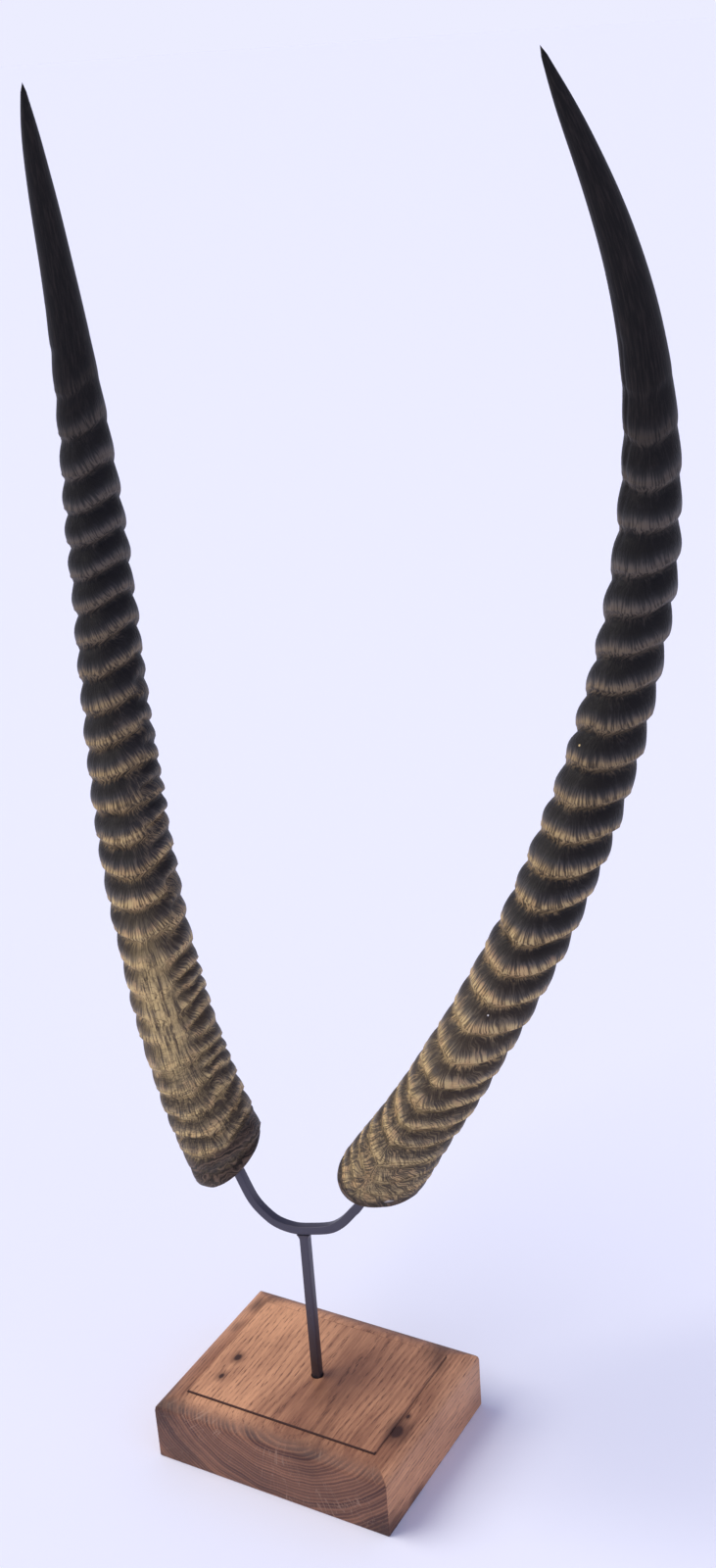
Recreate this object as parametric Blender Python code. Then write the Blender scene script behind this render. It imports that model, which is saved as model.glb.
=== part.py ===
"""Waterbuck horn trophy: two ringed horns on a bent square-bar yoke, on an upright bar in an oak block.

Metres, +Z up. The origin is the centre of the block's underside, and the block's front is towards -Y.
"""

import math

import bmesh
import bpy
import numpy as np
from mathutils import Vector

MM = 0.001
GAP = 0.3 * MM

# Oak block: its long side runs along X and its grain along Y.
BLOCK_LENGTH = 180 * MM
BLOCK_DEPTH = 139 * MM
BLOCK_HEIGHT = 49 * MM
SHOULDER_HEIGHT = 41 * MM
SHOULDER_ROUND = 5 * MM
FIELD_MARGIN = 17 * MM
FIELD_STEP = 1.1 * MM
FOOT_EASE = 0.8 * MM

# Steel: 6 mm square bar, standing in a drilled hole.
BAR_SIDE = 6 * MM
BAR_EASE = 0.4 * MM
HOLE_DIAMETER = 9 * MM
HOLE_FLOOR = 12 * MM
HOLE_SIDES = 28

# The mount is the upright, the yoke and the horns. It stands turned a little on the block.
MOUNT_PLACE = (0.7 * MM, -1.3 * MM, 0.0)
MOUNT_TURN = math.radians(3)
WELD_REACH = 1.9 * MM
WELD_HEIGHT = 4 * MM
YOKE_STEP = 5 * MM
YOKE_RUN_OUT = 12 * MM
UNDER_SLOPE = 1.04

# The yoke's centre line between the horns, in the mount's own frame.
YOKE_BEND = (
    (-47.1 * MM, 1.2 * MM, 202.3 * MM),
    (-38.0 * MM, 0.8 * MM, 183.8 * MM),
    (-27.9 * MM, 0.4 * MM, 174.0 * MM),
    (-18.9 * MM, 0.1 * MM, 169.6 * MM),
    (-7.0 * MM, 0, 168.4 * MM),
    (4.0 * MM, 0.4 * MM, 170.2 * MM),
    (18.5 * MM, 2.0 * MM, 173.7 * MM),
    (27.4 * MM, 3.6 * MM, 179.5 * MM),
    (35.9 * MM, 5.4 * MM, 189.4 * MM),
    (39.6 * MM, 6.3 * MM, 194.0 * MM),
)

# The yoke's ends stand in square sockets in the horns' sawn ends.
SOCKET_SIDE = BAR_SIDE + 2 * GAP
SOCKET_DEPTH = 36 * MM
TENON = SOCKET_DEPTH - GAP

# Both horns: how the growth rings stand out.
SIDES = 18
RIM_STEPS = ((2.2 * MM, 0.97), (2.0 * MM, 0.92))
ROOT = 60 * MM
TIP_RADIUS = 0.9 * MM
CREST_SHARE = 0.6
BACK_RELIEF = 0.45
CLIMB_SPREAD = math.radians(106)
KEEL_SPREAD = math.radians(24)
PROFILE = ((0.0, 1.0), (0.42, 0.74), (0.8, 0.0))
CLEAR_SHARES = (0.08, 0.2, 0.35, 0.5, 0.65, 0.78, 0.88, 0.95)
LEVELLING = 0.4

# A horn's axis passes through its seven path points, evenly spaced, in the mount's own frame. Girth gives radii at
# heights along the axis. Sawn gives where the end's cut crosses the axis and how much it climbs towards +X and
# towards the front. Rings are the growth rings' heights at their lowest point. Climb gives, at heights along the
# axis, the angle of that lowest point and how far the rings rise from it towards +X and towards -X.
HORNS = {
    "horn_left": {
        "path": (
            (-59.6, 5.1, 220.9),
            (-116.4, 40.3, 322.5),
            (-159.4, 86.5, 426.7),
            (-185.7, 123.6, 539.5),
            (-194.5, 136.8, 659.9),
            (-187.8, 117.9, 779.8),
            (-162.6, 70.3, 888.6),
        ),
        "girth": (
            (-40, 26.4),
            (0, 27.2),
            (60, 26.3),
            (120, 24.9),
            (240, 24.3),
            (300, 22.7),
            (360, 21.3),
            (420, 20.4),
            (450, 19.5),
            (510, 15.9),
            (600, 11.0),
            (660, 8.1),
            (700, 5.0),
        ),
        "rings": (
            -24, -12, 0, 12, 26, 41, 57, 75, 90, 105, 125, 145, 166, 189, 211, 234,
            259, 281, 306, 330, 353, 376, 398, 421, 444, 468, 496, 525,
        ),
        "sawn": (-10, -0.06, -0.47),
        "climb": (
            (60, 27, 12.5, 12.5),
            (130, 25, 19, 19),
            (200, 28, 18, 15),
            (270, 3, 13, 6.5),
            (340, -2, 14, -1.5),
            (410, -14, 12, 0),
        ),
        "relief": (1.5, 3.0),
        "ridge": 0.4,
    },
    "horn_right": {
        "path": (
            (56.8, 10.9, 222.0),
            (116.1, 44.3, 323.2),
            (159.5, 89.0, 428.3),
            (187.0, 124.1, 542.1),
            (198.5, 136.4, 663.2),
            (188.2, 117.8, 782.8),
            (160.0, 74.1, 893.7),
        ),
        "girth": (
            (-40, 27.0),
            (0, 26.5),
            (40, 24.3),
            (70, 23.6),
            (120, 23.1),
            (180, 22.7),
            (240, 22.3),
            (300, 21.8),
            (360, 20.4),
            (420, 19.6),
            (450, 18.7),
            (510, 15.8),
            (600, 11.8),
            (660, 8.5),
            (700, 5.4),
        ),
        "rings": (
            -24, -14, -3, 8, 20, 36, 50, 65, 82, 101, 123, 144, 165, 187, 211, 232,
            256, 279, 304, 328, 353, 377, 402, 427, 454, 480, 508, 537,
        ),
        "sawn": (-2, 0.32, -0.52),
        "climb": (
            (60, -10, 21, 12),
            (130, -5, 19, 9),
            (200, -8, 20, 6),
            (270, -12, 14, 1),
            (340, -12, 14, -9),
            (410, -12, 11, -11),
            (470, 5, 8, 5),
        ),
        "relief": (1.8, 3.0),
        "ridge": 1.4,
    },
}
RELIEF_FULL = 280
RELIEF_FADES = (490, 562)
RIDGE_ENDS = 330
ARC_SAMPLES = 600

OAK_COLOR = (0.30, 0.13, 0.05)
STEEL_COLOR = (0.055, 0.05, 0.065)
HORN_COLOR = (0.11, 0.075, 0.045)


def clear_scene():
    for obj in list(bpy.data.objects):
        bpy.data.objects.remove(obj, do_unlink=True)


def make_material(name, color, roughness, metallic=0.0):
    material = bpy.data.materials.new(name)
    material.use_nodes = True
    shader = material.node_tree.nodes["Principled BSDF"]
    shader.inputs["Base Color"].default_value = (*color, 1.0)
    shader.inputs["Roughness"].default_value = roughness
    shader.inputs["Metallic"].default_value = metallic
    return material


def make_object(name, bm, material, parent=None, smooth=False):
    bmesh.ops.recalc_face_normals(bm, faces=bm.faces[:])
    mesh = bpy.data.meshes.new(name)
    bm.to_mesh(mesh)
    bm.free()
    if smooth:
        mesh.shade_smooth()
        mesh.set_sharp_from_angle(angle=math.radians(35))
    obj = bpy.data.objects.new(name, mesh)
    bpy.context.scene.collection.objects.link(obj)
    obj.parent = parent
    obj.data.materials.append(material)
    return obj


def smoothstep(value):
    value = np.clip(value, 0.0, 1.0)
    return value * value * (3.0 - 2.0 * value)


def smooth_value(knots, where):
    """A smooth curve of values through (place, value) knots."""
    places, values = (np.array(column, float) for column in zip(*knots))
    slopes = np.gradient(values, places)
    k = np.clip(np.searchsorted(places, where) - 1, 0, len(places) - 2)
    width = places[k + 1] - places[k]
    t = np.clip((where - places[k]) / width, 0.0, 1.0)
    rise = values[k + 1] - values[k]
    start, end = slopes[k] * width - rise, rise - slopes[k + 1] * width
    return values[k] + rise * t + t * (1 - t) * (start * (1 - t) + end * t)


def curve_between(points, step):
    """Points about a step apart on a smooth curve through the given ones."""
    points = [np.array(p, float) for p in points]
    padded = [2 * points[0] - points[1], *points, 2 * points[-1] - points[-2]]
    found = []
    for before, start, end, after in zip(padded, padded[1:], padded[2:], padded[3:]):
        count = max(1, round(np.linalg.norm(end - start) / step))
        for t in np.arange(count) / count:
            pull = 2 * start + (end - before) * t
            bend = (2 * before - 5 * start + 4 * end - after) * t**2
            twist = (3 * start - before - 3 * end + after) * t**3
            found.append((pull + bend + twist) / 2)
    found.append(points[-1])
    return np.array(found)


class Axis:
    """A horn's axis by height along it, with the directions across it."""

    def __init__(self, path):
        points = np.array(path) * MM
        evenly = np.linspace(0, 1, len(points))
        terms = np.linalg.solve(np.vander(evenly), points)
        along = np.vander(np.linspace(0, 1, ARC_SAMPLES), len(points)) @ terms
        steps = np.linalg.norm(np.diff(along, axis=0), axis=1)
        self.points = along
        self.heights = np.concatenate([[0.0], np.cumsum(steps)])
        self.length = self.heights[-1]
        self.root = (along[1] - along[0]) / steps[0]

    def at(self, height):
        height = np.asarray(height, float)
        place = np.stack([np.interp(height, self.heights, self.points[:, k]) for k in range(3)], -1)
        return place + np.minimum(height, 0.0)[..., None] * self.root

    def frame(self, height):
        """The axis's direction at a height, and across it the front and the side."""
        reach = 4 * MM
        high = np.minimum(np.asarray(height, float) + reach, self.length)
        ahead = self.at(high) - self.at(high - 2 * reach)
        ahead /= np.linalg.norm(ahead, axis=-1, keepdims=True)
        front = np.array([0.0, -1.0, 0.0]) - ahead * -ahead[..., 1:2]
        front /= np.linalg.norm(front, axis=-1, keepdims=True)
        return ahead, front, np.cross(ahead, front)


def ring_climb(spec, height, angle):
    """The angle turned from the rings' lowest point, and how far a ring rises there."""
    heights, keels, rises, others = np.array(spec["climb"], float).T
    keel, rise, other = (np.interp(height / MM, heights, row) for row in (keels, rises, others))
    turn = (angle - np.radians(keel) + math.pi) % (2 * math.pi) - math.pi
    side = np.sign(turn) * smoothstep((math.pi - np.abs(turn)) / (math.pi - CLIMB_SPREAD))
    full = (rise + other + (rise - other) * side) / 2
    return turn, full * MM * smoothstep(np.abs(turn) / CLIMB_SPREAD)


def horn_radius(spec, axis, height, angle, lift):
    """The radius at a height and angle, where lift runs from 0 in a valley to 1 on a ring's crest."""
    knots = [*spec["girth"], (axis.length / MM, TIP_RADIUS / MM)]
    girth = smooth_value(knots, height / MM) * MM
    turn, _ = ring_climb(spec, height, angle)
    facing = BACK_RELIEF + (1 - BACK_RELIEF) * (0.5 + 0.5 * np.cos(turn)) ** 0.6
    low, high = spec["relief"]
    relief = low + (high - low) * smoothstep(height / (RELIEF_FULL * MM))
    start, end = RELIEF_FADES
    relief = relief * (1 - smoothstep((height / MM - start) / (end - start))) * facing * MM
    ridge = spec["ridge"] * MM * np.exp(-((turn / KEEL_SPREAD) ** 2))
    ridge = ridge * (1 - smoothstep(height / (RIDGE_ENDS * MM)))
    return girth + relief * (lift - CREST_SHARE) + ridge


def horn_rows(spec, axis, angles):
    """Rows of (heights, lift) from below the sawn end to the tip, which follow the rings."""
    rings = [height * MM for height in spec["rings"]]
    lines = [height + ring_climb(spec, height, angles)[1] for height in rings]
    rows = [(lines[0] - (ROOT + rings[0]), 0.0)]
    for low, high in zip(lines, lines[1:]):
        rows += [(low + (high - low) * share, lift) for share, lift in PROFILE]
    rows.append((lines[-1], PROFILE[0][1]))
    rise = lines[-1] - rings[-1]
    clear = axis.length - rings[-1]
    for share in CLEAR_SHARES:
        fade = 1 - smoothstep(share / LEVELLING)
        rows.append((rings[-1] + clear * share + rise * fade, 0.0))
    return rows


def build_horn(name, spec, material, mount):
    axis = Axis(spec["path"])
    angles = np.arange(SIDES) * 2 * math.pi / SIDES
    bm = bmesh.new()
    loops = []
    for heights, lift in horn_rows(spec, axis, angles):
        _, front, side = axis.frame(heights)
        radius = horn_radius(spec, axis, heights, angles, lift)[:, None]
        around = np.cos(angles)[:, None] * front + np.sin(angles)[:, None] * side
        loops.append([bm.verts.new(p) for p in axis.at(heights) + radius * around])
    for low, high in zip(loops, loops[1:]):
        for k in range(SIDES):
            bm.faces.new((low[k - 1], low[k], high[k], high[k - 1]))
    tip = bm.verts.new(axis.at(axis.length))
    for k in range(SIDES):
        bm.faces.new((loops[-1][k - 1], loops[-1][k], tip))
    saw_end(bm, axis, spec)
    horn = make_object(name, bm, material, mount, smooth=True)
    add_socket(horn, axis, mount)
    return horn


def saw_end(bm, axis, spec):
    """Cuts the horn off at its slanting end and rounds the sawn edge."""
    height, side_climb, front_climb = spec["sawn"]
    ahead, front, side = axis.frame(0.0)
    inward = Vector(ahead - side_climb * side - front_climb * front).normalized()
    center = Vector(axis.at(height * MM)) + inward * sum(reach for reach, _ in RIM_STEPS)
    bmesh.ops.bisect_plane(
        bm,
        geom=bm.verts[:] + bm.edges[:] + bm.faces[:],
        dist=0.02 * MM,
        plane_co=center,
        plane_no=inward,
        clear_inner=True,
    )
    rim = [edge for edge in bm.edges if edge.is_boundary]
    cap = bmesh.ops.contextual_create(bm, geom=rim)["faces"]
    for reach, share in RIM_STEPS:
        ends = bmesh.ops.extrude_face_region(bm, geom=cap)["geom"]
        bmesh.ops.delete(bm, geom=cap, context="FACES_ONLY")
        cap = [item for item in ends if isinstance(item, bmesh.types.BMFace)]
        for vert in [item for item in ends if isinstance(item, bmesh.types.BMVert)]:
            vert.co = center + (vert.co - center) * share - inward * reach
        center -= inward * reach


def add_socket(horn, axis, mount):
    """Cuts the square socket that the yoke's end stands in."""
    _, front, side = axis.frame(0.0)
    ahead = axis.root
    half = SOCKET_SIDE / 2
    bm = bmesh.new()
    ends = []
    for height in (-SOCKET_DEPTH, SOCKET_DEPTH):
        center = axis.at(0.0) + ahead * height
        corners = ((-1, -1), (1, -1), (1, 1), (-1, 1))
        ends.append([bm.verts.new(center + half * (x * side + y * front)) for x, y in corners])
    for k in range(4):
        bm.faces.new((ends[0][k - 1], ends[0][k], ends[1][k], ends[1][k - 1]))
    for end in ends:
        bm.faces.new(end)
    cutter = make_object(horn.name + "_socket_cutter", bm, horn.data.materials[0], mount)
    cutter.hide_render = True
    cutter.display_type = "WIRE"
    cut = horn.modifiers.new("socket", "BOOLEAN")
    cut.operation = "DIFFERENCE"
    cut.object = cutter


def bar_section(side, ease):
    """The outline of an eased square bar, across and outwards, as eight corners."""
    half = side / 2
    inner = half - ease
    return (
        (-inner, -half),
        (inner, -half),
        (half, -inner),
        (half, inner),
        (inner, half),
        (-inner, half),
        (-half, inner),
        (-half, -inner),
    )


def loft(bm, loops):
    """Joins loops of equal counts and closes both ends."""
    rows = [[bm.verts.new(p) for p in loop] for loop in loops]
    for low, high in zip(rows, rows[1:]):
        for k in range(len(low)):
            bm.faces.new((low[k - 1], low[k], high[k], high[k - 1]))
    bm.faces.new(rows[0])
    bm.faces.new(rows[-1])


def yoke_line():
    """The yoke's centre line, from inside one horn to inside the other."""
    left, right = (Axis(HORNS[name]["path"]) for name in ("horn_left", "horn_right"))
    ends = [[axis.at(0.0) + axis.root * reach for reach in (TENON, 0.0, -YOKE_RUN_OUT)] for axis in (left, right)]
    return curve_between([*ends[0], *YOKE_BEND, *reversed(ends[1])], YOKE_STEP)


def build_yoke(material, mount):
    line = yoke_line()
    ahead = np.gradient(line, axis=0)
    ahead /= np.linalg.norm(ahead, axis=1, keepdims=True)
    front = np.array([0.0, -1.0, 0.0]) - ahead * -ahead[:, 1:2]
    front /= np.linalg.norm(front, axis=1, keepdims=True)
    up = np.cross(ahead, front)
    section = bar_section(BAR_SIDE, BAR_EASE)
    bm = bmesh.new()
    loft(bm, [[p + u * x + f * y for x, y in section] for p, u, f in zip(line, up, front)])
    return make_object("yoke_bar", bm, material, mount, smooth=True)


def build_upright(material, mount):
    """The upright bar, whose head widens into the weld and follows the yoke's underside."""
    line = yoke_line()
    half = BAR_SIDE / 2
    levels = (
        (WELD_HEIGHT, 0.0),
        (WELD_HEIGHT * 0.5, WELD_REACH * 0.35),
        (0.0, WELD_REACH),
    )
    outline = bar_section(BAR_SIDE, BAR_EASE)
    bm = bmesh.new()
    loops = [[(x, y, HOLE_FLOOR + GAP) for x, y in outline]]
    for below, reach in levels:
        loop = []
        for x, y in outline:
            across = x * (half + reach) / half
            under = np.interp(across, line[:, 0], line[:, 2]) - half * UNDER_SLOPE - GAP
            loop.append((across, y * (half + reach * 0.2) / half, under - below))
        loops.append(loop)
    loft(bm, loops)
    return make_object("upright_bar", bm, material, mount, smooth=True)


def build_block(material):
    """The oak block: eased foot, rounded shoulder, sloping margin and a raised field with the drilled hole."""
    slope_top = BLOCK_HEIGHT - FIELD_STEP
    slope_rise = slope_top - SHOULDER_HEIGHT
    outline = (
        (FOOT_EASE, 0.0),
        (0.0, FOOT_EASE),
        (0.0, SHOULDER_HEIGHT - SHOULDER_ROUND * 0.4),
        (SHOULDER_ROUND * 0.25, SHOULDER_HEIGHT + slope_rise * 0.08),
        (SHOULDER_ROUND, SHOULDER_HEIGHT + slope_rise * 0.38),
        (FIELD_MARGIN * 0.6, SHOULDER_HEIGHT + slope_rise * 0.78),
        (FIELD_MARGIN - GAP, slope_top),
        (FIELD_MARGIN, BLOCK_HEIGHT),
    )
    bm = bmesh.new()
    loops = []
    for inset, height in outline:
        x, y = BLOCK_LENGTH / 2 - inset, BLOCK_DEPTH / 2 - inset
        loops.append([(-x, -y, height), (x, -y, height), (x, y, height), (-x, y, height)])
    loft(bm, loops)
    block = make_object("base_block", bm, material)
    hole = bmesh.new()
    radius = HOLE_DIAMETER / 2
    rim = [(math.cos(a), math.sin(a)) for a in (k * math.tau / HOLE_SIDES for k in range(HOLE_SIDES))]
    top = BLOCK_HEIGHT + HOLE_DIAMETER
    loft(hole, [[(radius * x, radius * y, z) for x, y in rim] for z in (HOLE_FLOOR, top)])
    cutter = make_object("hole_cutter", hole, material)
    cutter.location = MOUNT_PLACE
    cutter.hide_render = True
    cutter.display_type = "WIRE"
    cut = block.modifiers.new("hole", "BOOLEAN")
    cut.operation = "DIFFERENCE"
    cut.object = cutter
    return block


def main():
    clear_scene()
    oak = make_material("oiled_oak", OAK_COLOR, 0.55)
    steel = make_material("blackened_steel", STEEL_COLOR, 0.5, 0.85)
    horn = make_material("horn", HORN_COLOR, 0.5)
    mount = bpy.data.objects.new("mount", None)
    bpy.context.scene.collection.objects.link(mount)
    mount.location = MOUNT_PLACE
    mount.rotation_euler = (0.0, 0.0, MOUNT_TURN)
    build_block(oak)
    build_upright(steel, mount)
    build_yoke(steel, mount)
    for name, spec in HORNS.items():
        build_horn(name, spec, horn, mount)


main()
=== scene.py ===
"""Waterbuck horn trophy: ringed horns, blackened steel mount and oiled oak block, laid out as an add-on."""

import math
from functools import partial

import bmesh
import bpy
import numpy as np
from bpy.props import FloatProperty, FloatVectorProperty, IntProperty, PointerProperty
from mathutils import Matrix, Vector


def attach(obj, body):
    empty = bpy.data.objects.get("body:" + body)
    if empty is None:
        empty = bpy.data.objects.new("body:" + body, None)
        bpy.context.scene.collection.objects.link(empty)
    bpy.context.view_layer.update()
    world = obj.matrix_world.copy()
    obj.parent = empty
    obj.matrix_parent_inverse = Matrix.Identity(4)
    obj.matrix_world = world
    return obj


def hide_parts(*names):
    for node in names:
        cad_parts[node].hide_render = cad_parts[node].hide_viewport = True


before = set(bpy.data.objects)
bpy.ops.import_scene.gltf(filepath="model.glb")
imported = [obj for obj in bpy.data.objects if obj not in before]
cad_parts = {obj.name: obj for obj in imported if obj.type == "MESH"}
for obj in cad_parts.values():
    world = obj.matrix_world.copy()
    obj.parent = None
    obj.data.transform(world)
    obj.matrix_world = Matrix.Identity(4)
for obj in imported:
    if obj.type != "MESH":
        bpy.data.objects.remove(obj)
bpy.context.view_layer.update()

bl_info = {
    "name": "Waterbuck Horn Trophy",
    "version": (1, 0, 0),
    "blender": (4, 5, 0),
    "location": "View3D > Sidebar > Trophy",
    "description": "Builds the horns, the steel mount and the oak block around the packed frame",
    "category": "Add Mesh",
}

MM = 0.001
GAP = 0.3 * MM

# The mount stands turned a little on the block.
MOUNT_PLACE = Vector((0.7 * MM, -1.3 * MM, 0.0))
MOUNT_TURN = math.radians(3)
MOUNT = Matrix.Translation(MOUNT_PLACE) @ Matrix.Rotation(MOUNT_TURN, 4, "Z")

# Oak block.
BLOCK_LENGTH = 180 * MM
BLOCK_DEPTH = 139 * MM
BLOCK_HEIGHT = 49 * MM
SHOULDER_HEIGHT = 41 * MM
FIELD_MARGIN = 17 * MM
FIELD_STEP = 1.1 * MM
HOLE_FLOOR = 12 * MM
HOLE_RADIUS = 4.5 * MM
HOLE_SIDES = 64
FOOT_EASE = 0.8 * MM
CORNER_EASE = 0.7 * MM
SHOULDER_DROP = 0.8 * MM
SHOULDER_STEPS = 12
BLOCK_SMOOTH = 28

# Steel bars.
BAR_SIDE = 6 * MM
BAR_EASE = 0.55 * MM
BAR_SMOOTH = 40
WELD_REACH = 1.9 * MM
WELD_HEIGHT = 4 * MM
WELD_STEPS = ((1.0, 0.0), (0.8, 0.06), (0.6, 0.18), (0.4, 0.36), (0.2, 0.62), (0.06, 0.86), (0.0, 0.97))
YOKE_STEP = 2 * MM
YOKE_RUN_OUT = 12 * MM
UNDER_SLOPE = 1.04
TENON = 35 * MM
SOCKET_SIDE = BAR_SIDE + 2 * GAP
SOCKET_DEPTH = 36 * MM

# The yoke's centre line between the horns, in the mount's own frame.
YOKE_BEND = (
    (-47.1 * MM, 1.2 * MM, 202.3 * MM),
    (-38.0 * MM, 0.8 * MM, 183.8 * MM),
    (-27.9 * MM, 0.4 * MM, 174.0 * MM),
    (-18.9 * MM, 0.1 * MM, 169.6 * MM),
    (-7.0 * MM, 0, 168.4 * MM),
    (4.0 * MM, 0.4 * MM, 170.2 * MM),
    (18.5 * MM, 2.0 * MM, 173.7 * MM),
    (27.4 * MM, 3.6 * MM, 179.5 * MM),
    (35.9 * MM, 5.4 * MM, 189.4 * MM),
    (39.6 * MM, 6.3 * MM, 194.0 * MM),
)

# Both horns. Lengths here and in HORNS are in millimetres. Angles count from the horn's front towards +X, here
# in radians and in HORNS in degrees. A share goes from the notch below a ring to the next notch.
RING_ROWS = (0, 0.03, 0.07, 0.11, 0.14, 0.17, 0.2, 0.25, 0.32, 0.42, 0.54, 0.67, 0.79, 0.9)
NOTCH_BELOW = 0.2
BULGE_PLACE = (0.92, 0.64, 0.64)
BULGE_TURNS = (-1.1, 0.0, 1.6)
BULGE_ROUND = 0.9
BULGE_BACK = (2.0, 3.1)
CALM_TONE = 0.68
CALM_TAN = 0.7
LIP_PLACE = 0.155
LIP_WIDTH = 0.045
LIP_HEIGHT = 0.65
FIBRE_REACH = 22
CREST_SHARE = 0.6
RING_PITCH = 22
BACK_RELIEF = 0.7
CLIMB_SPREAD = math.radians(106)
KEEL_SPREAD = math.radians(24)
FRONT_RINGS = 42
SPLIT_FADE = 12

# Heights between which something comes in or fades, and the same by angle.
ROUGH_FADES = (40, 170)
VEE_FADES = (60, 210)
LOW_FADES = (60, 320)
SPLIT_TINT_FADES = (130, 150)
TONE_NARROWS = (210, 370)
LIP_FADES = (260, 380)
RELIEF_COMES = (0, 280)
RIDGE_FADES = (0, 330)
RELIEF_FADES = (400, 568)
TIP_STARTS = (450, 548)
SPLIT_BACK = (3.0, 2.4)
FRONT_SIDE = (1.45, 0.75)
CALM_SIDE = (-1.2, -0.7)
TIP_RADIUS = 0.9
TIP_ROWS = 36
ROOT_ROWS = 14
ROOT_REACH = 26
RIM_ROUND = 4.4
ROW_GAP = 0.02
END_SHARES = (0, 0.15, 0.3, 0.45, 0.6, 0.72, 0.82, 0.9, 0.96)
ARC_SAMPLES = 600

# Uneven parts of a horn: amount, shift of its seed, turns round the horn and rate for each millimetre.
UNEVEN = {
    "wobble": (0.8, 0, 1, 0.045),
    "ripple": (0.5, 1, 3, 0.12),
    "place": (0.07, 4, 2, 0.13),
    "strength": (0.35, 6, 3, 0.09),
    "relief": (0.28, 5, 2, 0.11),
    "lumps": (0.35, 9, 1, 0.06),
    "rope": (0.3, 2, 2, 0.2),
}
WAVES = ((1, 0.9, 0.3, 0.4), (2, -1.3, 1.9, 0.35), (3, 1.7, 4.1, 0.25), (5, -2.3, 2.7, 0.2))

# Light tone, and tan tinge, by share of the way from notch to notch. The tone is partly the horn's own pale
# crests and dark keratin and partly painted light: a painted highlight on the slope just above the tan crest,
# and painted shade in the hollow just below the next notch.
TONE = (
    (0, 0.5),
    (0.08, 0.82),
    (0.16, 1.0),
    (0.26, 0.98),
    (0.34, 0.72),
    (0.45, 0.4),
    (0.58, 0.14),
    (0.7, 0.03),
    (0.78, 0),
    (0.87, 0.06),
    (0.94, 0.25),
    (1, 0.5),
)
TAN = ((0, 1), (0.22, 1), (0.46, 0), (0.78, 0), (0.93, 0.9), (1, 1))

# Small pale marks: horn, height, angle, half length along the rings, half breadth, and whether chalk white.
FLECKS = (
    ("horn_right", 135.5, 6, 0.6, 0.6, True),
    ("horn_right", 313, -30, 0.8, 0.8, False),
    ("horn_right", -1.5, 34, 3.2, 1.1, True),
)

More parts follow.
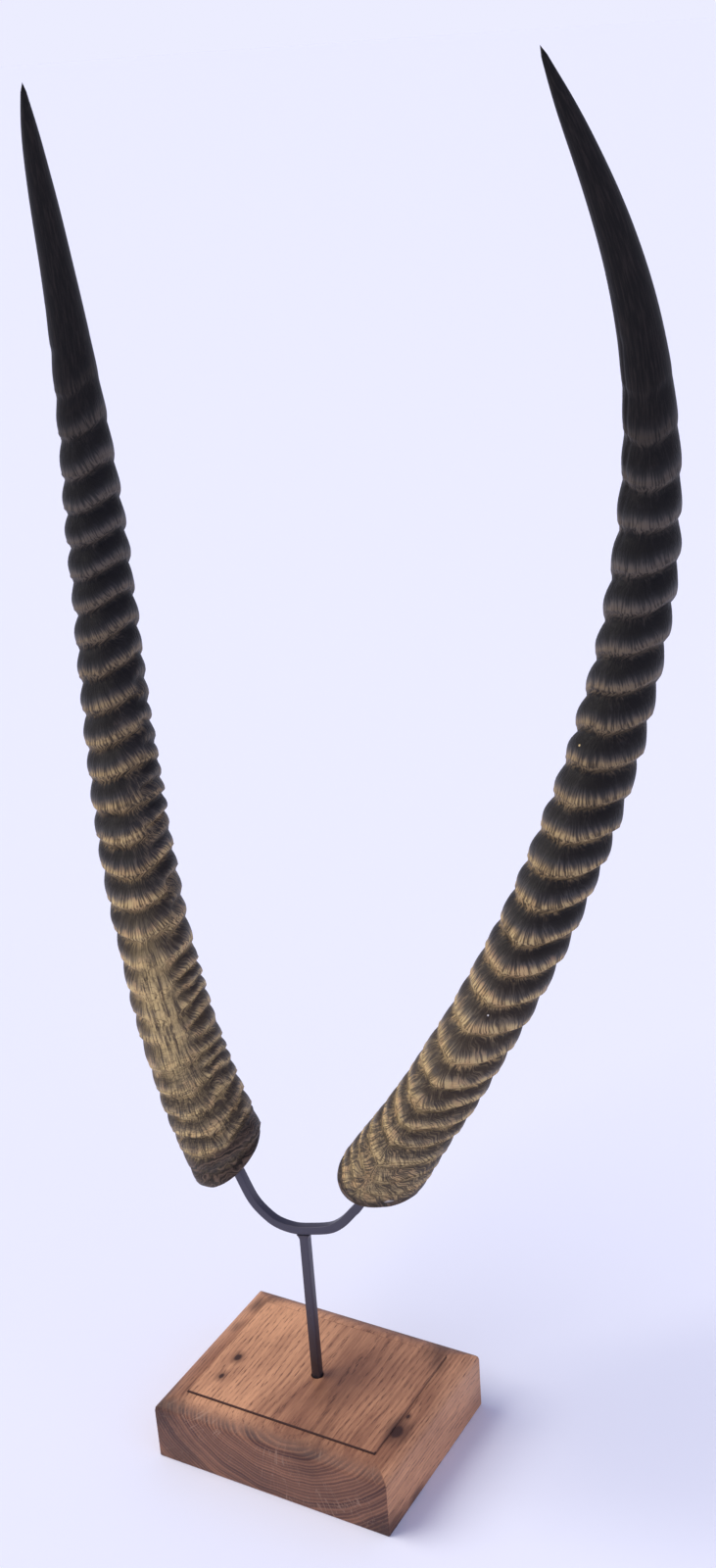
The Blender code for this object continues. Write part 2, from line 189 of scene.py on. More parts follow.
# Each horn:
# path: points of its axis
# girth: heights and radii
# rings: their front heights
# split_rings: front heights of the closer rings on a flank
# split_at: front heights, and the angles between which the closer rings take over
# sawn: the cut's height at the axis, and its slopes to the side and to the front
# climb: heights, and there the angle of a ring's lowest point and its rise towards +X and -X
# relief: how far the rings stand out low down and higher up
# ridge: height of the keel
# worn and calm: patches by height, angle, half height, half width and amount
# vee: how sharply the low rings bend at their lowest point
# pale: lightness low down
# end: heights above the cut between which the dark of the sawn end stops
# bumps: knobs and a groove by height, angle, half height, half width and rise
HORNS = {
    "horn_left": {
        "path": (
            (-59.6, 5.1, 220.9),
            (-116.4, 40.3, 322.5),
            (-159.4, 86.5, 426.7),
            (-185.7, 123.6, 539.5),
            (-194.5, 136.8, 659.9),
            (-187.8, 117.9, 779.8),
            (-162.6, 70.3, 888.6),
        ),
        "girth": (
            (-40, 26.4),
            (0, 27.2),
            (60, 26.3),
            (120, 24.9),
            (240, 24.3),
            (300, 22.7),
            (360, 21.3),
            (420, 20.1),
            (450, 19.1),
            (510, 15.9),
            (600, 11.0),
            (660, 8.1),
            (700, 5.0),
        ),
        "rings": (
            -24, -12, 0, 12, 26, 41, 57, 75, 90, 105, 125, 145, 166, 189, 211, 234,
            259, 281, 306, 330, 353, 376, 398, 421, 444, 468, 496, 525, 556, 588,
        ),
        "split_rings": (
            -8, 4, 16, 28.5, 40, 48, 57, 68.5, 78.5, 90, 99, 108, 121, 141, 155.5, 174, 188, 203,
            215.5, 229, 243, 255.5, 270, 286, 298.5, 315, 331, 353,
        ),
        "split_at": (
            (130, 38, 66),
            (150, 64, 90),
            (190, 64, 90),
            (205, 46, 72),
            (240, 46, 72),
            (262, 64, 90),
        ),
        "sawn": (-10, -0.06, -0.47),
        "climb": (
            (60, 27, 12.5, 12.5),
            (130, 25, 19, 19),
            (200, 28, 18, 15),
            (270, 3, 13, 6.5),
            (340, -2, 14, -1.5),
            (410, -14, 12, 0),
        ),
        "relief": (1.9, 3.6),
        "ridge": 0.4,
        "worn": ((90, 20, 40, 27, 1.25),),
        "calm": ((0, -40, 30, 90, 0.3), (82, 28, 46, 24, 0.5), (225, 50, 75, 15, 0.4)),
        "vee": 0.0,
        "pale": 1.0,
        "end": (10, 27),
        "bumps": (
            (146, 36, 9, 19.8, 1.5),
            (158, 10, 7, 15.4, 0.8),
            (128, 60, 7, 15.4, 0.7),
        ),
        "seed": 3.0,
    },
    "horn_right": {
        "path": (
            (56.8, 10.9, 222.0),
            (116.1, 44.3, 323.2),
            (159.5, 89.0, 428.3),
            (187.0, 124.1, 542.1),
            (198.5, 136.4, 663.2),
            (188.2, 117.8, 782.8),
            (160.0, 74.1, 893.7),
        ),
        "girth": (
            (-40, 27.0),
            (0, 26.5),
            (40, 24.3),
            (70, 23.6),
            (120, 23.1),
            (180, 22.7),
            (240, 22.3),
            (300, 21.8),
            (360, 20.4),
            (420, 19.5),
            (450, 18.5),
            (510, 15.8),
            (600, 11.8),
            (660, 8.5),
            (700, 5.4),
        ),
        "rings": (
            -24, -14, -3, 8, 20, 36, 50, 65, 82, 101, 123, 144, 165, 187, 211, 232,
            256, 279, 304, 328, 353, 377, 402, 427, 454, 480, 508, 537, 568, 600,
        ),
        "split_rings": (),
        "sawn": (-2, 0.32, -0.52),
        "climb": (
            (60, -10, 21, 12),
            (130, -5, 19, 9),
            (200, -8, 20, 6),
            (270, -12, 14, 1),
            (340, -12, 14, -9),
            (410, -12, 11, -11),
            (470, 5, 8, 5),
        ),
        "relief": (2.2, 3.7),
        "ridge": 1.4,
        "worn": (),
        "calm": ((110, -80, 110, 42, 0.6), (2, 30, 34, 120, 0.85)),
        "vee": 0.3,
        "pale": 1.15,
        "end": (2.5, 12),
        "bumps": (
            (103, -8, 7, 15.4, 1.0),
            (123, -10, 7, 15.4, 1.2),
            (84, -6, 7, 15.4, 0.8),
            (145, 5, 6, 13.2, 0.6),
            (495, -40, 62, 6, -0.9),
        ),
        "seed": 11.0,
    },
}

# The photograph's viewpoint.
VIEW_PLACE = (0.5858, -0.8889, 0.9251)
VIEW_AZIMUTH = math.radians(30.37)
VIEW_PITCH = math.radians(22.48)
VIEW_ROLL = math.radians(-3.986)
FOCAL_PIXELS = 1950
IMAGE_HEIGHT = 1600
SENSOR = 36

# Stage: where the two soft lights come from and how wide they are, and distances in metres.
KEY_FROM = (-0.75, -0.35, 1.0)
KEY_WIDTH = math.radians(45)
KEY_COLOR = "fffaf0"
FILL_FROM = (0.9, -0.25, 0.55)
FILL_WIDTH = math.radians(60)
FILL_COLOR = "ccd2ff"
FLOOR_RADIUS = 40
VIEW_REACH = 100


def linear(hex_color):
    """An sRGB hex colour as linear red, green and blue, and full cover."""
    channels = [int(hex_color[k : k + 2], 16) / 255 for k in (0, 2, 4)]
    return (*(c / 12.92 if c <= 0.04045 else ((c + 0.055) / 1.055) ** 2.4 for c in channels), 1.0)


def color_property(name, description, hex_color):
    """A colour setting with its name, description and default."""
    return FloatVectorProperty(
        name=name,
        description=description,
        subtype="COLOR",
        size=4,
        min=0,
        max=1,
        default=linear(hex_color),
    )


# Kinds of node that are used most, and the settings of a smooth step and of a mix of colours.
MATH = "ShaderNodeMath"
MIX = "ShaderNodeMix"
RANGE = "ShaderNodeMapRange"
SMOOTH = {"interpolation_type": "SMOOTHSTEP"}
COLORS = {"data_type": "RGBA", "output": 2}

# Random patterns of the materials. Each has what it follows, its stretch, its shift in metres, its size in
# millimetres, detail, roughness and swirl.
ALL_WAYS = (1, 1, 1)
KERATIN_PATTERNS = {
    # Single fibres are finer than 0.2 mm, too fine to show. Strands of them are drawn 1.1 mm wide and 20 mm
    # long, in bundles 3.8 mm wide.
    "strands": ("fibre", (1, 1, 0.055), 0, 1.1, 2.0, 0.6, 0.0),
    "bundles": ("fibre", (1, 1, 0.12), 0, 3.8, 2.0, 0.5, 0.0),
    "wide_strands": ("fibre", (1, 1, 0.1), 0, 3.0, 4.0, 0.62, 0.0),
    # Growth lines, 1 to 2 mm apart but drawn a little coarser to show, and cracks run round the horn.
    "growth": ("fibre", (0.2, 0.2, 1), 0, 2.4, 3.0, 0.6, 0.6),
    "cracks": ("fibre", (0.5, 0.5, 1), 0, 3.8, 2.0, 0.5, 1.2),
    "patches": ("place", ALL_WAYS, 0, 26, 3.0, 0.55, 0.0),
    "tinge": ("place", ALL_WAYS, 0, 10.5, 2.0, 0.5, 0.0),
    "grain": ("place", ALL_WAYS, 0, 1.25, 2.0, 0.6, 0.0),
}
OAK_PATTERNS = {
    # Slow and fine waves in the rings, and darker and lighter parts of the board.
    "slow": ("place", (1, 0.45, 1), 0, 62.5, 2.0, 0.5, 0.0),
    "fine": ("place", (1, 0.3, 1), 0, 14.3, 2.0, 0.5, 0.0),
    "blotch": ("place", (1, 0.5, 1), 0.31, 38.5, 3.0, 0.55, 0.0),
    # Long fibres, and open pores. Real ones are 0.2 to 0.4 mm wide, and are drawn 0.65 mm wide and 7 mm long.
    "fibres": ("place", (1, 0.03, 1), 0, 1.4, 3.0, 0.65, 0.0),
    "streak": ("place", (1, 0.07, 1), 0, 5.3, 3.0, 0.6, 0.0),
    "pores": ("place", (1, 0.09, 1), 0, 0.65, 1.0, 0.5, 0.0),
    "speck": ("place", ALL_WAYS, 0, 0.65, 1.0, 0.5, 0.0),
    "gaps": ("place", ALL_WAYS, 0, 29, 1.0, 0.5, 0.0),
}
STEEL_PATTERNS = {
    "cloud": ("place", ALL_WAYS, 0, 17, 3.0, 0.6, 0.0),
    "speckle": ("place", ALL_WAYS, 0, 1.1, 2.0, 0.6, 0.0),
    "scratch": ("place", (1, 1, 0.25), 0, 2.6, 1.0, 0.4, 0.0),
}
KERATIN_IOR = 1.54

# Layers of the sawn end, about 2 mm thick, in the unit of their own pattern.
SAWN_LAYER = 0.45

# The oak's pith by X and Z, how many years make a group, and the angle between rays in radians. The rays are
# about 3 mm apart on the sawn ends.
PITH = (12 * MM, 98 * MM)
YEAR_GROUP = 2.4
RAY_ANGLE = 0.045

# Paler and darker parts of the block along the grain: direction, start and end in millimetres, and change. The
# last part, at the right-hand end, is painted light on that side of the block.
PALE_PARTS = (
    ("X", 22, -50, 0.5),
    ("X", -71, -75, -0.5),
    ("Y", 5, 45, 0.12),
    # Painted light: lightens the right-hand shoulder and side face.
    ("X", 78, 89, 0.42),
)

# Marks on the block in millimetres: x, y, z and reach, and for a stain its strength. They are longer along Y.
MARK_STRETCH = (1, 0.6, 1)
KNOTS = (
    (-59.3, -9, 49, 2.6),
    (-59.5, -30.4, 49, 2.4),
    (76.6, -27.4, 47.4, 4.3),
    (76.4, -11.5, 47.4, 1.4),
)
STAINS = (
    (-88, -69, 40, 22, 0.75),
    (-72, -69, 12, 22, 0.4),
    (90, -72, 0, 20, 0.85),
    (30, -64, 40, 22, 0.3),
    (74, -24, 46, 11, 0.5),
    (-78, 48, 46, 8, 0.65),
    (-80, 22, 46, 6, 0.5),
    (-70, 60, 46, 8, 0.5),
    (66, 57, 46, 12, 0.55),
    (72, 42, 46, 7, 0.5),
    (90, -31.5, 2, 7, 0.6),
    (20, -10, 49, 18, 0.25),
)


class OakSettings(bpy.types.PropertyGroup):
    """Colours and figure of the oak block."""

    light: color_property("Light wood", "Pale part of a growth ring on the faces along the grain", "dfa479")
    mid: color_property("Mid wood", "Body colour of the oiled oak", "8a5c44")
    dark: color_property("Dark wood", "Open pores and streaks", "4f3025")
    end_light: color_property("Light end grain", "Pale rings on the sawn ends", "98694f")
    end_dark: color_property("Dark end grain", "Oil-soaked rings on the sawn ends", "472b27")
    ray: color_property("Ray", "Pale rays across the rings", "96745f")
    # The knot colour also paints shade into the saw line round the raised field.
    knot: color_property("Knot", "Small knots and the dirt in the saw line", "38201a")
    stain: color_property("Stain", "Oil-dark corners and margins", "3d2620")
    ring_pitch: FloatProperty(
        name="Ring pitch", description="Growth of one year", default=2.6 * MM, min=0.5 * MM, unit="LENGTH"
    )


class SteelSettings(bpy.types.PropertyGroup):
    """Finish of the square bars."""

    scale_color: color_property("Mill scale", "Blackened surface", "4e4b56")
    brown: color_property("Brown tinge", "Heat and oil stain", "4a3e3a")
    bare: color_property("Bare steel", "Scratches", "b9b9c2")
    roughness: FloatProperty(
        name="Roughness", description="Satin of the mill scale", default=0.42, min=0, max=1, subtype="FACTOR"
    )


class HornSettings(bpy.types.PropertyGroup):
    """Colours and fineness of the horns."""

    # The hollow colours are partly the horn's dark keratin and partly painted shade under the next ring.
    dark_low: color_property("Hollows, lower", "Darkest part between the rings near the base", "43382e")
    dark_mid: color_property("Hollows, middle", "Darkest part between the rings of the middle", "1f1b19")
    dark_high: color_property("Hollows, upper", "Darkest part between the rings of the upper half", "171515")
    slope_low: color_property("Slopes, lower", "Fibrous slopes above the crests near the base", "857459")
    slope_mid: color_property("Slopes, middle", "Fibrous slopes above the crests of the middle", "4c4745")
    slope_high: color_property("Slopes, upper", "Fibrous slopes above the crests of the upper half", "312f31")
    crest_low: color_property("Crests, lower", "Worn crests near the base", "b3986a")
    crest_mid: color_property("Crests, middle", "Worn crests of the middle", "937a55")
    crest_high: color_property("Crests, upper", "Crests of the upper half", "5a5047")
    fleck: color_property("Pale fibres", "Palest fibres on crests and worn patches", "cdb27e")
    warm: color_property("Warm fibres", "Orange tinge on parts of the lower crests", "c2946a")
    tip: color_property("Tip", "Smooth black tip", "131112")
    tip_streak: color_property("Tip streaks", "Faint fibres of the tip", "262120")
    worn_dark: color_property("Worn patch, dark", "Darker fibres of the worn patch", "5f4f3c")
    chalk: color_property("White flecks", "Chalky white specks and the chip at the rim", "e6e0d8")
    butt: color_property("Sawn end", "Rough dark end", "241d1a")
    butt_light: color_property("Sawn end, light", "Lighter layers of the rough end", "6a5648")
    sides: IntProperty(name="Sides", description="Points around a horn", default=208, min=24)


class StageSettings(bpy.types.PropertyGroup):
    """Floor, light and camera."""

    floor_color: color_property("Floor", "Plain pale floor", "f3f4fd")
    horizon: color_property("Room, low", "Soft light of the room near the horizon", "ecedff")
    ceiling: color_property("Room, high", "Soft light of the room overhead", "9ca1c2")
    key_strength: FloatProperty(
        name="Key light", description="Strength of the large soft light", default=2.2, min=0
    )
    fill_strength: FloatProperty(
        name="Fill light", description="Strength of the cool light in the shade", default=0.3, min=0
    )


def smoothly(value, ends):
    """Goes smoothly from 0 at the first end to 1 at the second."""
    start, end = ends
    share = np.clip((value - start) / (end - start), 0.0, 1.0)
    return share * share * (3.0 - 2.0 * share)


def smooth_value(knots, where):
    """A smooth curve of values through (place, value) knots."""
    places, values = (np.array(column, float) for column in zip(*knots))
    slopes = np.gradient(values, places)
    k = np.clip(np.searchsorted(places, where) - 1, 0, len(places) - 2)
    width = places[k + 1] - places[k]
    t = np.clip((where - places[k]) / width, 0.0, 1.0)
    rise = values[k + 1] - values[k]
    start, end = slopes[k] * width - rise, rise - slopes[k + 1] * width
    return values[k] + rise * t + t * (1 - t) * (start * (1 - t) + end * t)


def curve_between(points, step):
    """Points about a step apart on a smooth curve through the given ones."""
    points = [np.array(p, float) for p in points]
    padded = [2 * points[0] - points[1], *points, 2 * points[-1] - points[-2]]
    found = []
    for before, start, end, after in zip(padded, padded[1:], padded[2:], padded[3:]):
        count = max(1, round(np.linalg.norm(end - start) / step))
        for t in np.arange(count) / count:
            pull = 2 * start + (end - before) * t
            bend = (2 * before - 5 * start + 4 * end - after) * t**2
            twist = (3 * start - before - 3 * end + after) * t**3
            found.append((pull + bend + twist) / 2)
    found.append(points[-1])
    return np.array(found)


class Axis:
    """A horn's axis by height along it, in millimetres, with the directions across it."""

    def __init__(self, path):
        points = np.array(path, float)
        evenly = np.linspace(0, 1, len(points))
        terms = np.linalg.solve(np.vander(evenly), points)
        along = np.vander(np.linspace(0, 1, ARC_SAMPLES), len(points)) @ terms
        steps = np.linalg.norm(np.diff(along, axis=0), axis=1)
        self.points = along
        self.heights = np.concatenate([[0.0], np.cumsum(steps)])
        self.length = self.heights[-1]
        self.root = (along[1] - along[0]) / steps[0]

    def at(self, height):
        """The axis's place at a height, which may lie below its root."""
        height = np.asarray(height, float)
        place = np.stack([np.interp(height, self.heights, self.points[:, k]) for k in range(3)], -1)
        return place + np.minimum(height, 0.0)[..., None] * self.root

    def frame(self, height):
        """The axis's direction at a height, and across it the front and the side."""
        reach = 4.0
        high = np.minimum(np.asarray(height, float) + reach, self.length)
        ahead = self.at(high) - self.at(high - 2 * reach)
        ahead /= np.linalg.norm(ahead, axis=-1, keepdims=True)
        front = np.array([0.0, -1.0, 0.0]) - ahead * -ahead[..., 1:2]
        front /= np.linalg.norm(front, axis=-1, keepdims=True)
        return ahead, front, np.cross(ahead, front)


def uneven(spec, kind, angle, height):
    """A smooth irregular value up to about its amount, the same on each run."""
    amount, shift, turns, rate = UNEVEN[kind]
    seed = spec["seed"] + shift
    total = 0.0
    for turn, climb, phase, share in WAVES:
        phase = phase + seed * (turn + 0.37)
        total = total + share * np.sin(turn * turns * angle + climb * rate * height + phase)
    return amount * total


def ring_climb(spec, height, angle):
    """The angle turned from the rings' lowest point, and how far a ring rises there."""
    heights, keels, rises, others = np.array(spec["climb"], float).T
    keel, rise, other = (np.interp(height, heights, row) for row in (keels, rises, others))
    turn = (angle - np.radians(keel) + math.pi) % (2 * math.pi) - math.pi
    side = np.sign(turn) * smoothly(np.abs(turn), (math.pi, CLIMB_SPREAD))
    full = (rise + other + (rise - other) * side) / 2
    reach = np.clip(np.abs(turn) / CLIMB_SPREAD, 0, 1)
    vee = spec["vee"] * (1 - smoothly(height, VEE_FADES))
    return turn, full * (smoothly(reach, (0, 1)) * (1 - vee) + reach * (2 - reach) * vee)


def ring_rise(spec, height, angle):
    """How far above its lowest point a ring stands at an angle, with its small wobble."""
    rough = 1 - smoothly(height, ROUGH_FADES)
    wobble = (1 + 0.9 * rough) * uneven(spec, "wobble", angle, height)
    ripple = (0.4 + rough) * uneven(spec, "ripple", angle, height)
    return ring_climb(spec, height, angle)[1] + wobble + ripple


def ring_height(spec, height, angle):
    """The front height of the ring line through a point of the horn."""
    front = height
    for _ in range(6):
        front = height - ring_rise(spec, front, angle)
    return front


def ring_share(rings, front):
    """Where a front height lies between the notch below a ring and the next notch, from 0 to 1."""
    rings = np.array(rings, float)
    gaps = np.diff(rings)
    notches = rings - NOTCH_BELOW * np.concatenate([gaps[:1], gaps])
    k = np.clip(np.searchsorted(notches, front) - 1, 0, len(notches) - 2)
    share = (front - notches[k]) / (notches[k + 1] - notches[k])
    inside = (front >= notches[0]) & (front <= notches[-1])
    return np.clip(share, 0.0, 1.0), inside


def bulge(share, angle):
    """A ring's profile from notch to notch: round towards -X, and steeper below its crest towards +X."""
    place = np.interp(angle, BULGE_TURNS, BULGE_PLACE)
    place = place + (BULGE_PLACE[1] - place) * smoothly(np.abs(angle), BULGE_BACK)
    return np.sin(math.pi * np.clip(share, 0.0, 1.0) ** place).clip(0.0) ** BULGE_ROUND


def surface_values(share, angle):
    """Lift, lip, light tone and tan tinge by place between two notches."""
    share = np.asarray(share, float)
    places, tones = np.array(TONE).T
    tan_places, tans = np.array(TAN).T
    lip = np.exp(-(((share - LIP_PLACE) / LIP_WIDTH) ** 2))
    tone, tan = np.interp(share, places, tones), np.interp(share, tan_places, tans)
    return np.stack([bulge(share, angle), lip, tone, tan])


def ring_pattern(spec, front, angle):
    """The place between two notches, and the surface values there, at points of the horn."""
    share, inside = ring_share(spec["rings"], front)
    values = surface_values(share, angle)
    if spec["split_rings"]:
        heights, starts, ends = np.array(spec["split_at"], float).T
        start, end = (np.radians(np.interp(front, heights, row)) for row in (starts, ends))
        low, high = spec["split_rings"][0], spec["split_rings"][-1]
        weight = smoothly(angle, (start, end)) * smoothly(angle, SPLIT_BACK)
        weight = weight * smoothly(front, (low, low + SPLIT_FADE))
        weight = weight * smoothly(front, (high, high - SPLIT_FADE))
        split_share, _ = ring_share(spec["split_rings"], front)
        tint = weight * (1 - 0.45 * smoothly(front, SPLIT_TINT_FADES))
        weights = np.stack([weight, weight, tint, tint])
        values = values + (surface_values(split_share, angle) - values) * weights
        share = np.where(weight > 0.5, split_share, share)
    plain = np.array([CREST_SHARE, 0.0, 0.0, 0.0]).reshape(-1, *([1] * share.ndim))
    return share, np.where(inside, values, plain)


def patches(table, height, angle):
    """Soft oval patches added up: centre height and angle, half height, half width in degrees, and amount."""
    total = np.zeros_like(height)
    for height_at, angle_at, reach, spread, amount in table:
        turn = (angle - math.radians(angle_at) + math.pi) % (2 * math.pi) - math.pi
        near = np.exp(-(((height - height_at) / reach) ** 2) - (turn / math.radians(spread)) ** 2)
        total = total + amount * near
    return total


def horn_surface(spec, axis, height, angle):
    """Radius and surface values at points of the horn."""
    front = ring_height(spec, height, angle)
    low_down = 1 - smoothly(height, LOW_FADES)
    drift = (0.4 + low_down) * uneven(spec, "place", angle, front)
    share, (lift, lip, _, _) = ring_pattern(spec, front, angle)
    _, (_, _, tone, tan) = ring_pattern(spec, front + drift * RING_PITCH, angle)
    strength = 1 + low_down * uneven(spec, "strength", angle, front)
    narrow = 1 + 0.75 * smoothly(height, TONE_NARROWS)
    pale = 1 + (spec["pale"] - 1) * low_down
    tone = np.clip(tone**narrow * strength * pale, 0, 1.15)

    # How strongly the rings stand out, by height, side and patch.
    turn, _ = ring_climb(spec, height, angle)
    facing = BACK_RELIEF + (1 - BACK_RELIEF) * (0.5 + 0.5 * np.cos(turn)) ** 0.6
    ahead_side = smoothly(np.abs(angle), FRONT_SIDE)
    ringed = 1 - smoothly(front - FRONT_RINGS * ahead_side, RELIEF_FADES)
    colored = 1 - smoothly(front, TIP_STARTS)
    worn = np.clip(patches(spec["worn"], height, angle), 0, 1)
    calm = np.clip(patches(spec["calm"], height, angle), 0, 0.85)
    low, high = spec["relief"]
    relief = low + (high - low) * smoothly(height, RELIEF_COMES)
    relief = relief * ringed * facing * (1 + uneven(spec, "relief", angle, height))
    relief = relief * (1 - 0.72 * worn) * (1 - calm)

    girth = smooth_value([*spec["girth"], (axis.length, TIP_RADIUS)], height)
    ridge = spec["ridge"] * np.exp(-((turn / KEEL_SPREAD) ** 2)) * (1 - smoothly(height, RIDGE_FADES))
    lumps = uneven(spec, "lumps", angle, height) * ringed
    rope = 0.9 + uneven(spec, "rope", angle, height)
    lip = LIP_HEIGHT * lip * rope * ringed * facing * (1 - worn)
    lip = lip * (1 - 0.75 * smoothly(height, LIP_FADES) * (1 - ahead_side))
    radius = girth + relief * (lift - CREST_SHARE) + ridge + lumps + lip
    radius = radius + patches(spec["bumps"], height, angle)
    faint = calm * smoothly(angle, CALM_SIDE)
    tone = tone + (CALM_TONE - tone) * faint
    tan = tan + (CALM_TAN - tan) * faint
    values = {"tone": tone, "tan": tan, "height": height, "worn": worn, "ringed": colored}
    return radius, share, front, values


def skin_place(spec, height, angle):
    """A point of the horn's skin, in the scene's metres."""
    axis = Axis(spec["path"])
    height, angle = np.array([float(height)]), np.array([math.radians(angle)])
    radius = horn_surface(spec, axis, height, angle)[0]
    _, front_way, side_way = axis.frame(height)
    around = np.cos(angle)[:, None] * front_way + np.sin(angle)[:, None] * side_way
    return MOUNT @ Vector((axis.at(height) + radius[:, None] * around)[0] * MM)


def build_horn(name, spec, sides, material):
    """A horn: a grid wrapped round its axis, with rows that follow the growth rings."""
    axis = Axis(spec["path"])
    angles = np.linspace(0, 2 * math.pi, sides + 1) - math.pi
    rings = np.array(spec["rings"], float)
    gaps = np.diff(rings)
    notches = rings - NOTCH_BELOW * np.concatenate([gaps[:1], gaps])
    fronts = [notches[0] - ROOT_REACH * (1 - k / ROOT_ROWS) for k in range(ROOT_ROWS)]
    for low, high in zip(notches, notches[1:]):
        fronts += [low + (high - low) * share for share in RING_ROWS]
    clear = axis.length - notches[-1]
    fronts += [notches[-1] + clear * k / TIP_ROWS for k in range(TIP_ROWS)]
    fronts = np.array(fronts)
    angle = np.tile(angles, (len(fronts), 1))
    level = 1 - smoothly(fronts, (notches[-1], notches[-1] + 0.4 * clear))
    height = fronts[:, None] + ring_rise(spec, fronts[:, None], angle) * level[:, None]

    cut_height, side_climb, front_climb = spec["sawn"]
    root_radius = smooth_value(spec["girth"], np.array(cut_height))
    cut = cut_height + root_radius * (side_climb * np.sin(angles) + front_climb * np.cos(angles))
    order = np.arange(len(fronts))[:, None]
    height = np.maximum(height, cut[None, :]) + ROW_GAP * np.minimum(order, 80)
    radius, share, front, values = horn_surface(spec, axis, height, angle)
    over = np.clip((height - cut) / RIM_ROUND, 0, 1)
    radius = radius - RIM_ROUND * 0.75 * (1 - np.sqrt(1 - (1 - over) ** 2))
    values["butt"] = 1 - smoothly(height - cut, spec["end"])

    ahead, front_way, side_way = axis.frame(height)
    around = np.cos(angle)[..., None] * front_way + np.sin(angle)[..., None] * side_way
    skin = axis.at(height) + radius[..., None] * around

    # The fibres run up from each crest at right angles to its line.
    girth = radius.mean(axis=1, keepdims=True)
    tilt = np.gradient(ring_rise(spec, front, angle), angles, axis=1) / girth
    combed = (1 - np.clip(1.6 * values["worn"], 0, 1)) * values["ringed"]
    across = angle * girth + tilt * (share - NOTCH_BELOW) * FIBRE_REACH * combed
    round_angle = across / girth
    fibre = np.stack([girth * np.cos(round_angle), girth * np.sin(round_angle), front], -1) * MM

    # The sawn end: rows from the rim in to the socket, and down the socket's walls.
    half = SOCKET_SIDE / MM / 2
    square = half / np.maximum(np.abs(np.cos(angles)), np.abs(np.sin(angles)))
    _, front_root, side_root = axis.frame(0.0)
    spoke = np.cos(angles)[:, None] * front_root + np.sin(angles)[:, None] * side_root
    mouth_height = cut_height + square * (side_climb * np.sin(angles) + front_climb * np.cos(angles))
    mouth = axis.at(mouth_height) + square[:, None] * spoke
    floor = axis.at(np.full(len(angles), SOCKET_DEPTH / MM)) + square[:, None] * spoke
    end_rows = [axis.at(np.full(len(angles), SOCKET_DEPTH / MM)), floor]
    end_rows += [mouth + (skin[0] - mouth) * share for share in END_SHARES]
    rows = np.concatenate([np.array(end_rows), skin])
    rows[-1] = axis.at(axis.length)
    extra = len(end_rows)

    bm = bmesh.new()
    bmesh.ops.create_grid(bm, x_segments=sides, y_segments=len(rows) - 1, size=1)
    bm.verts.ensure_lookup_table()
    layers = {key: bm.verts.layers.float.new(key) for key in values}
    fibre_layer = bm.verts.layers.float_vector.new("fibre")
    for vert in list(bm.verts):
        column = round((vert.co.x + 1) / 2 * sides)
        row = round((vert.co.y + 1) / 2 * (len(rows) - 1))
        vert.co = MOUNT @ Vector(rows[row, column] * MM)
        on_skin = max(row - extra, 0)
        for key, layer in layers.items():
            vert[layer] = values[key][on_skin, column]
        vert[fibre_layer] = Vector(fibre[on_skin, column])
        if row < extra:
            vert[layers["butt"]] = 1.0
    bmesh.ops.remove_doubles(bm, verts=bm.verts[:], dist=0.0008 * MM)
    bmesh.ops.dissolve_degenerate(bm, dist=0.0005 * MM, edges=bm.edges[:])
    bmesh.ops.recalc_face_normals(bm, faces=bm.faces[:])
    return finish_piece(bm, name + "_dressed", material, name)


def finish_piece(bm, name, material, node, smooth_angle=None):
    """Makes the piece's object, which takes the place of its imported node."""
    mesh = bpy.data.meshes.new(name)
    bm.to_mesh(mesh)
    bm.free()
    mesh.shade_smooth()
    if smooth_angle:
        mesh.set_sharp_from_angle(angle=math.radians(smooth_angle))
    piece = bpy.data.objects.new(name, mesh)
    bpy.context.scene.collection.objects.link(piece)
    piece.data.materials.append(material)
    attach(piece, "root")
    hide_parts(node)
    return piece


def bar_section(half, reach=0.0, reach_y=0.0):
    """The outline of an eased square bar, as corners of rounded quarters."""
    inner = half - BAR_EASE
    outline = []
    for quarter in range(4):
        for step in range(4):
            a = math.pi / 2 * (quarter + step / 3)
            x = math.copysign(inner, math.cos(math.pi / 4 + quarter * math.pi / 2)) + BAR_EASE * math.cos(a)
            y = math.copysign(inner, math.sin(math.pi / 4 + quarter * math.pi / 2)) + BAR_EASE * math.sin(a)
            outline.append((x * (half + reach) / half, y * (half + reach_y) / half))
    return outline


def extrude_through(bm, loops):
    """Starts from a circle of points, extrudes it through the loops and closes both ends."""
    count = len(loops[0])
    ring = bmesh.ops.create_circle(bm, segments=count, radius=1)["verts"]
    for vert, place in zip(ring, loops[0]):
        vert.co = place
    first = bm.edges[:]
    edges = first
    for loop in loops[1:]:
        before = {vert: k for k, vert in enumerate(ring)}
        made = bmesh.ops.extrude_edge_only(bm, edges=edges)["geom"]
        edges = [item for item in made if isinstance(item, bmesh.types.BMEdge)]
        fresh = [item for item in made if isinstance(item, bmesh.types.BMVert)]
        follows = {}
        for vert in fresh:
            for edge in vert.link_edges:
                other = edge.other_vert(vert)
                if other in before:
                    follows[before[other]] = vert
        ring = [follows[k] for k in range(count)]
        for vert, place in zip(ring, loop):
            vert.co = place
    bmesh.ops.contextual_create(bm, geom=first)
    bmesh.ops.contextual_create(bm, geom=edges)
    bmesh.ops.recalc_face_normals(bm, faces=bm.faces[:])


def yoke_line():
    """The yoke's centre line, from inside one horn to inside the other."""
    ends = []
    for name in ("horn_left", "horn_right"):
        axis = Axis(HORNS[name]["path"])
        ends.append([axis.at(0.0) * MM + axis.root * reach for reach in (TENON, 0.0, -YOKE_RUN_OUT)])
    return curve_between([*ends[0], *YOKE_BEND, *reversed(ends[1])], YOKE_STEP)


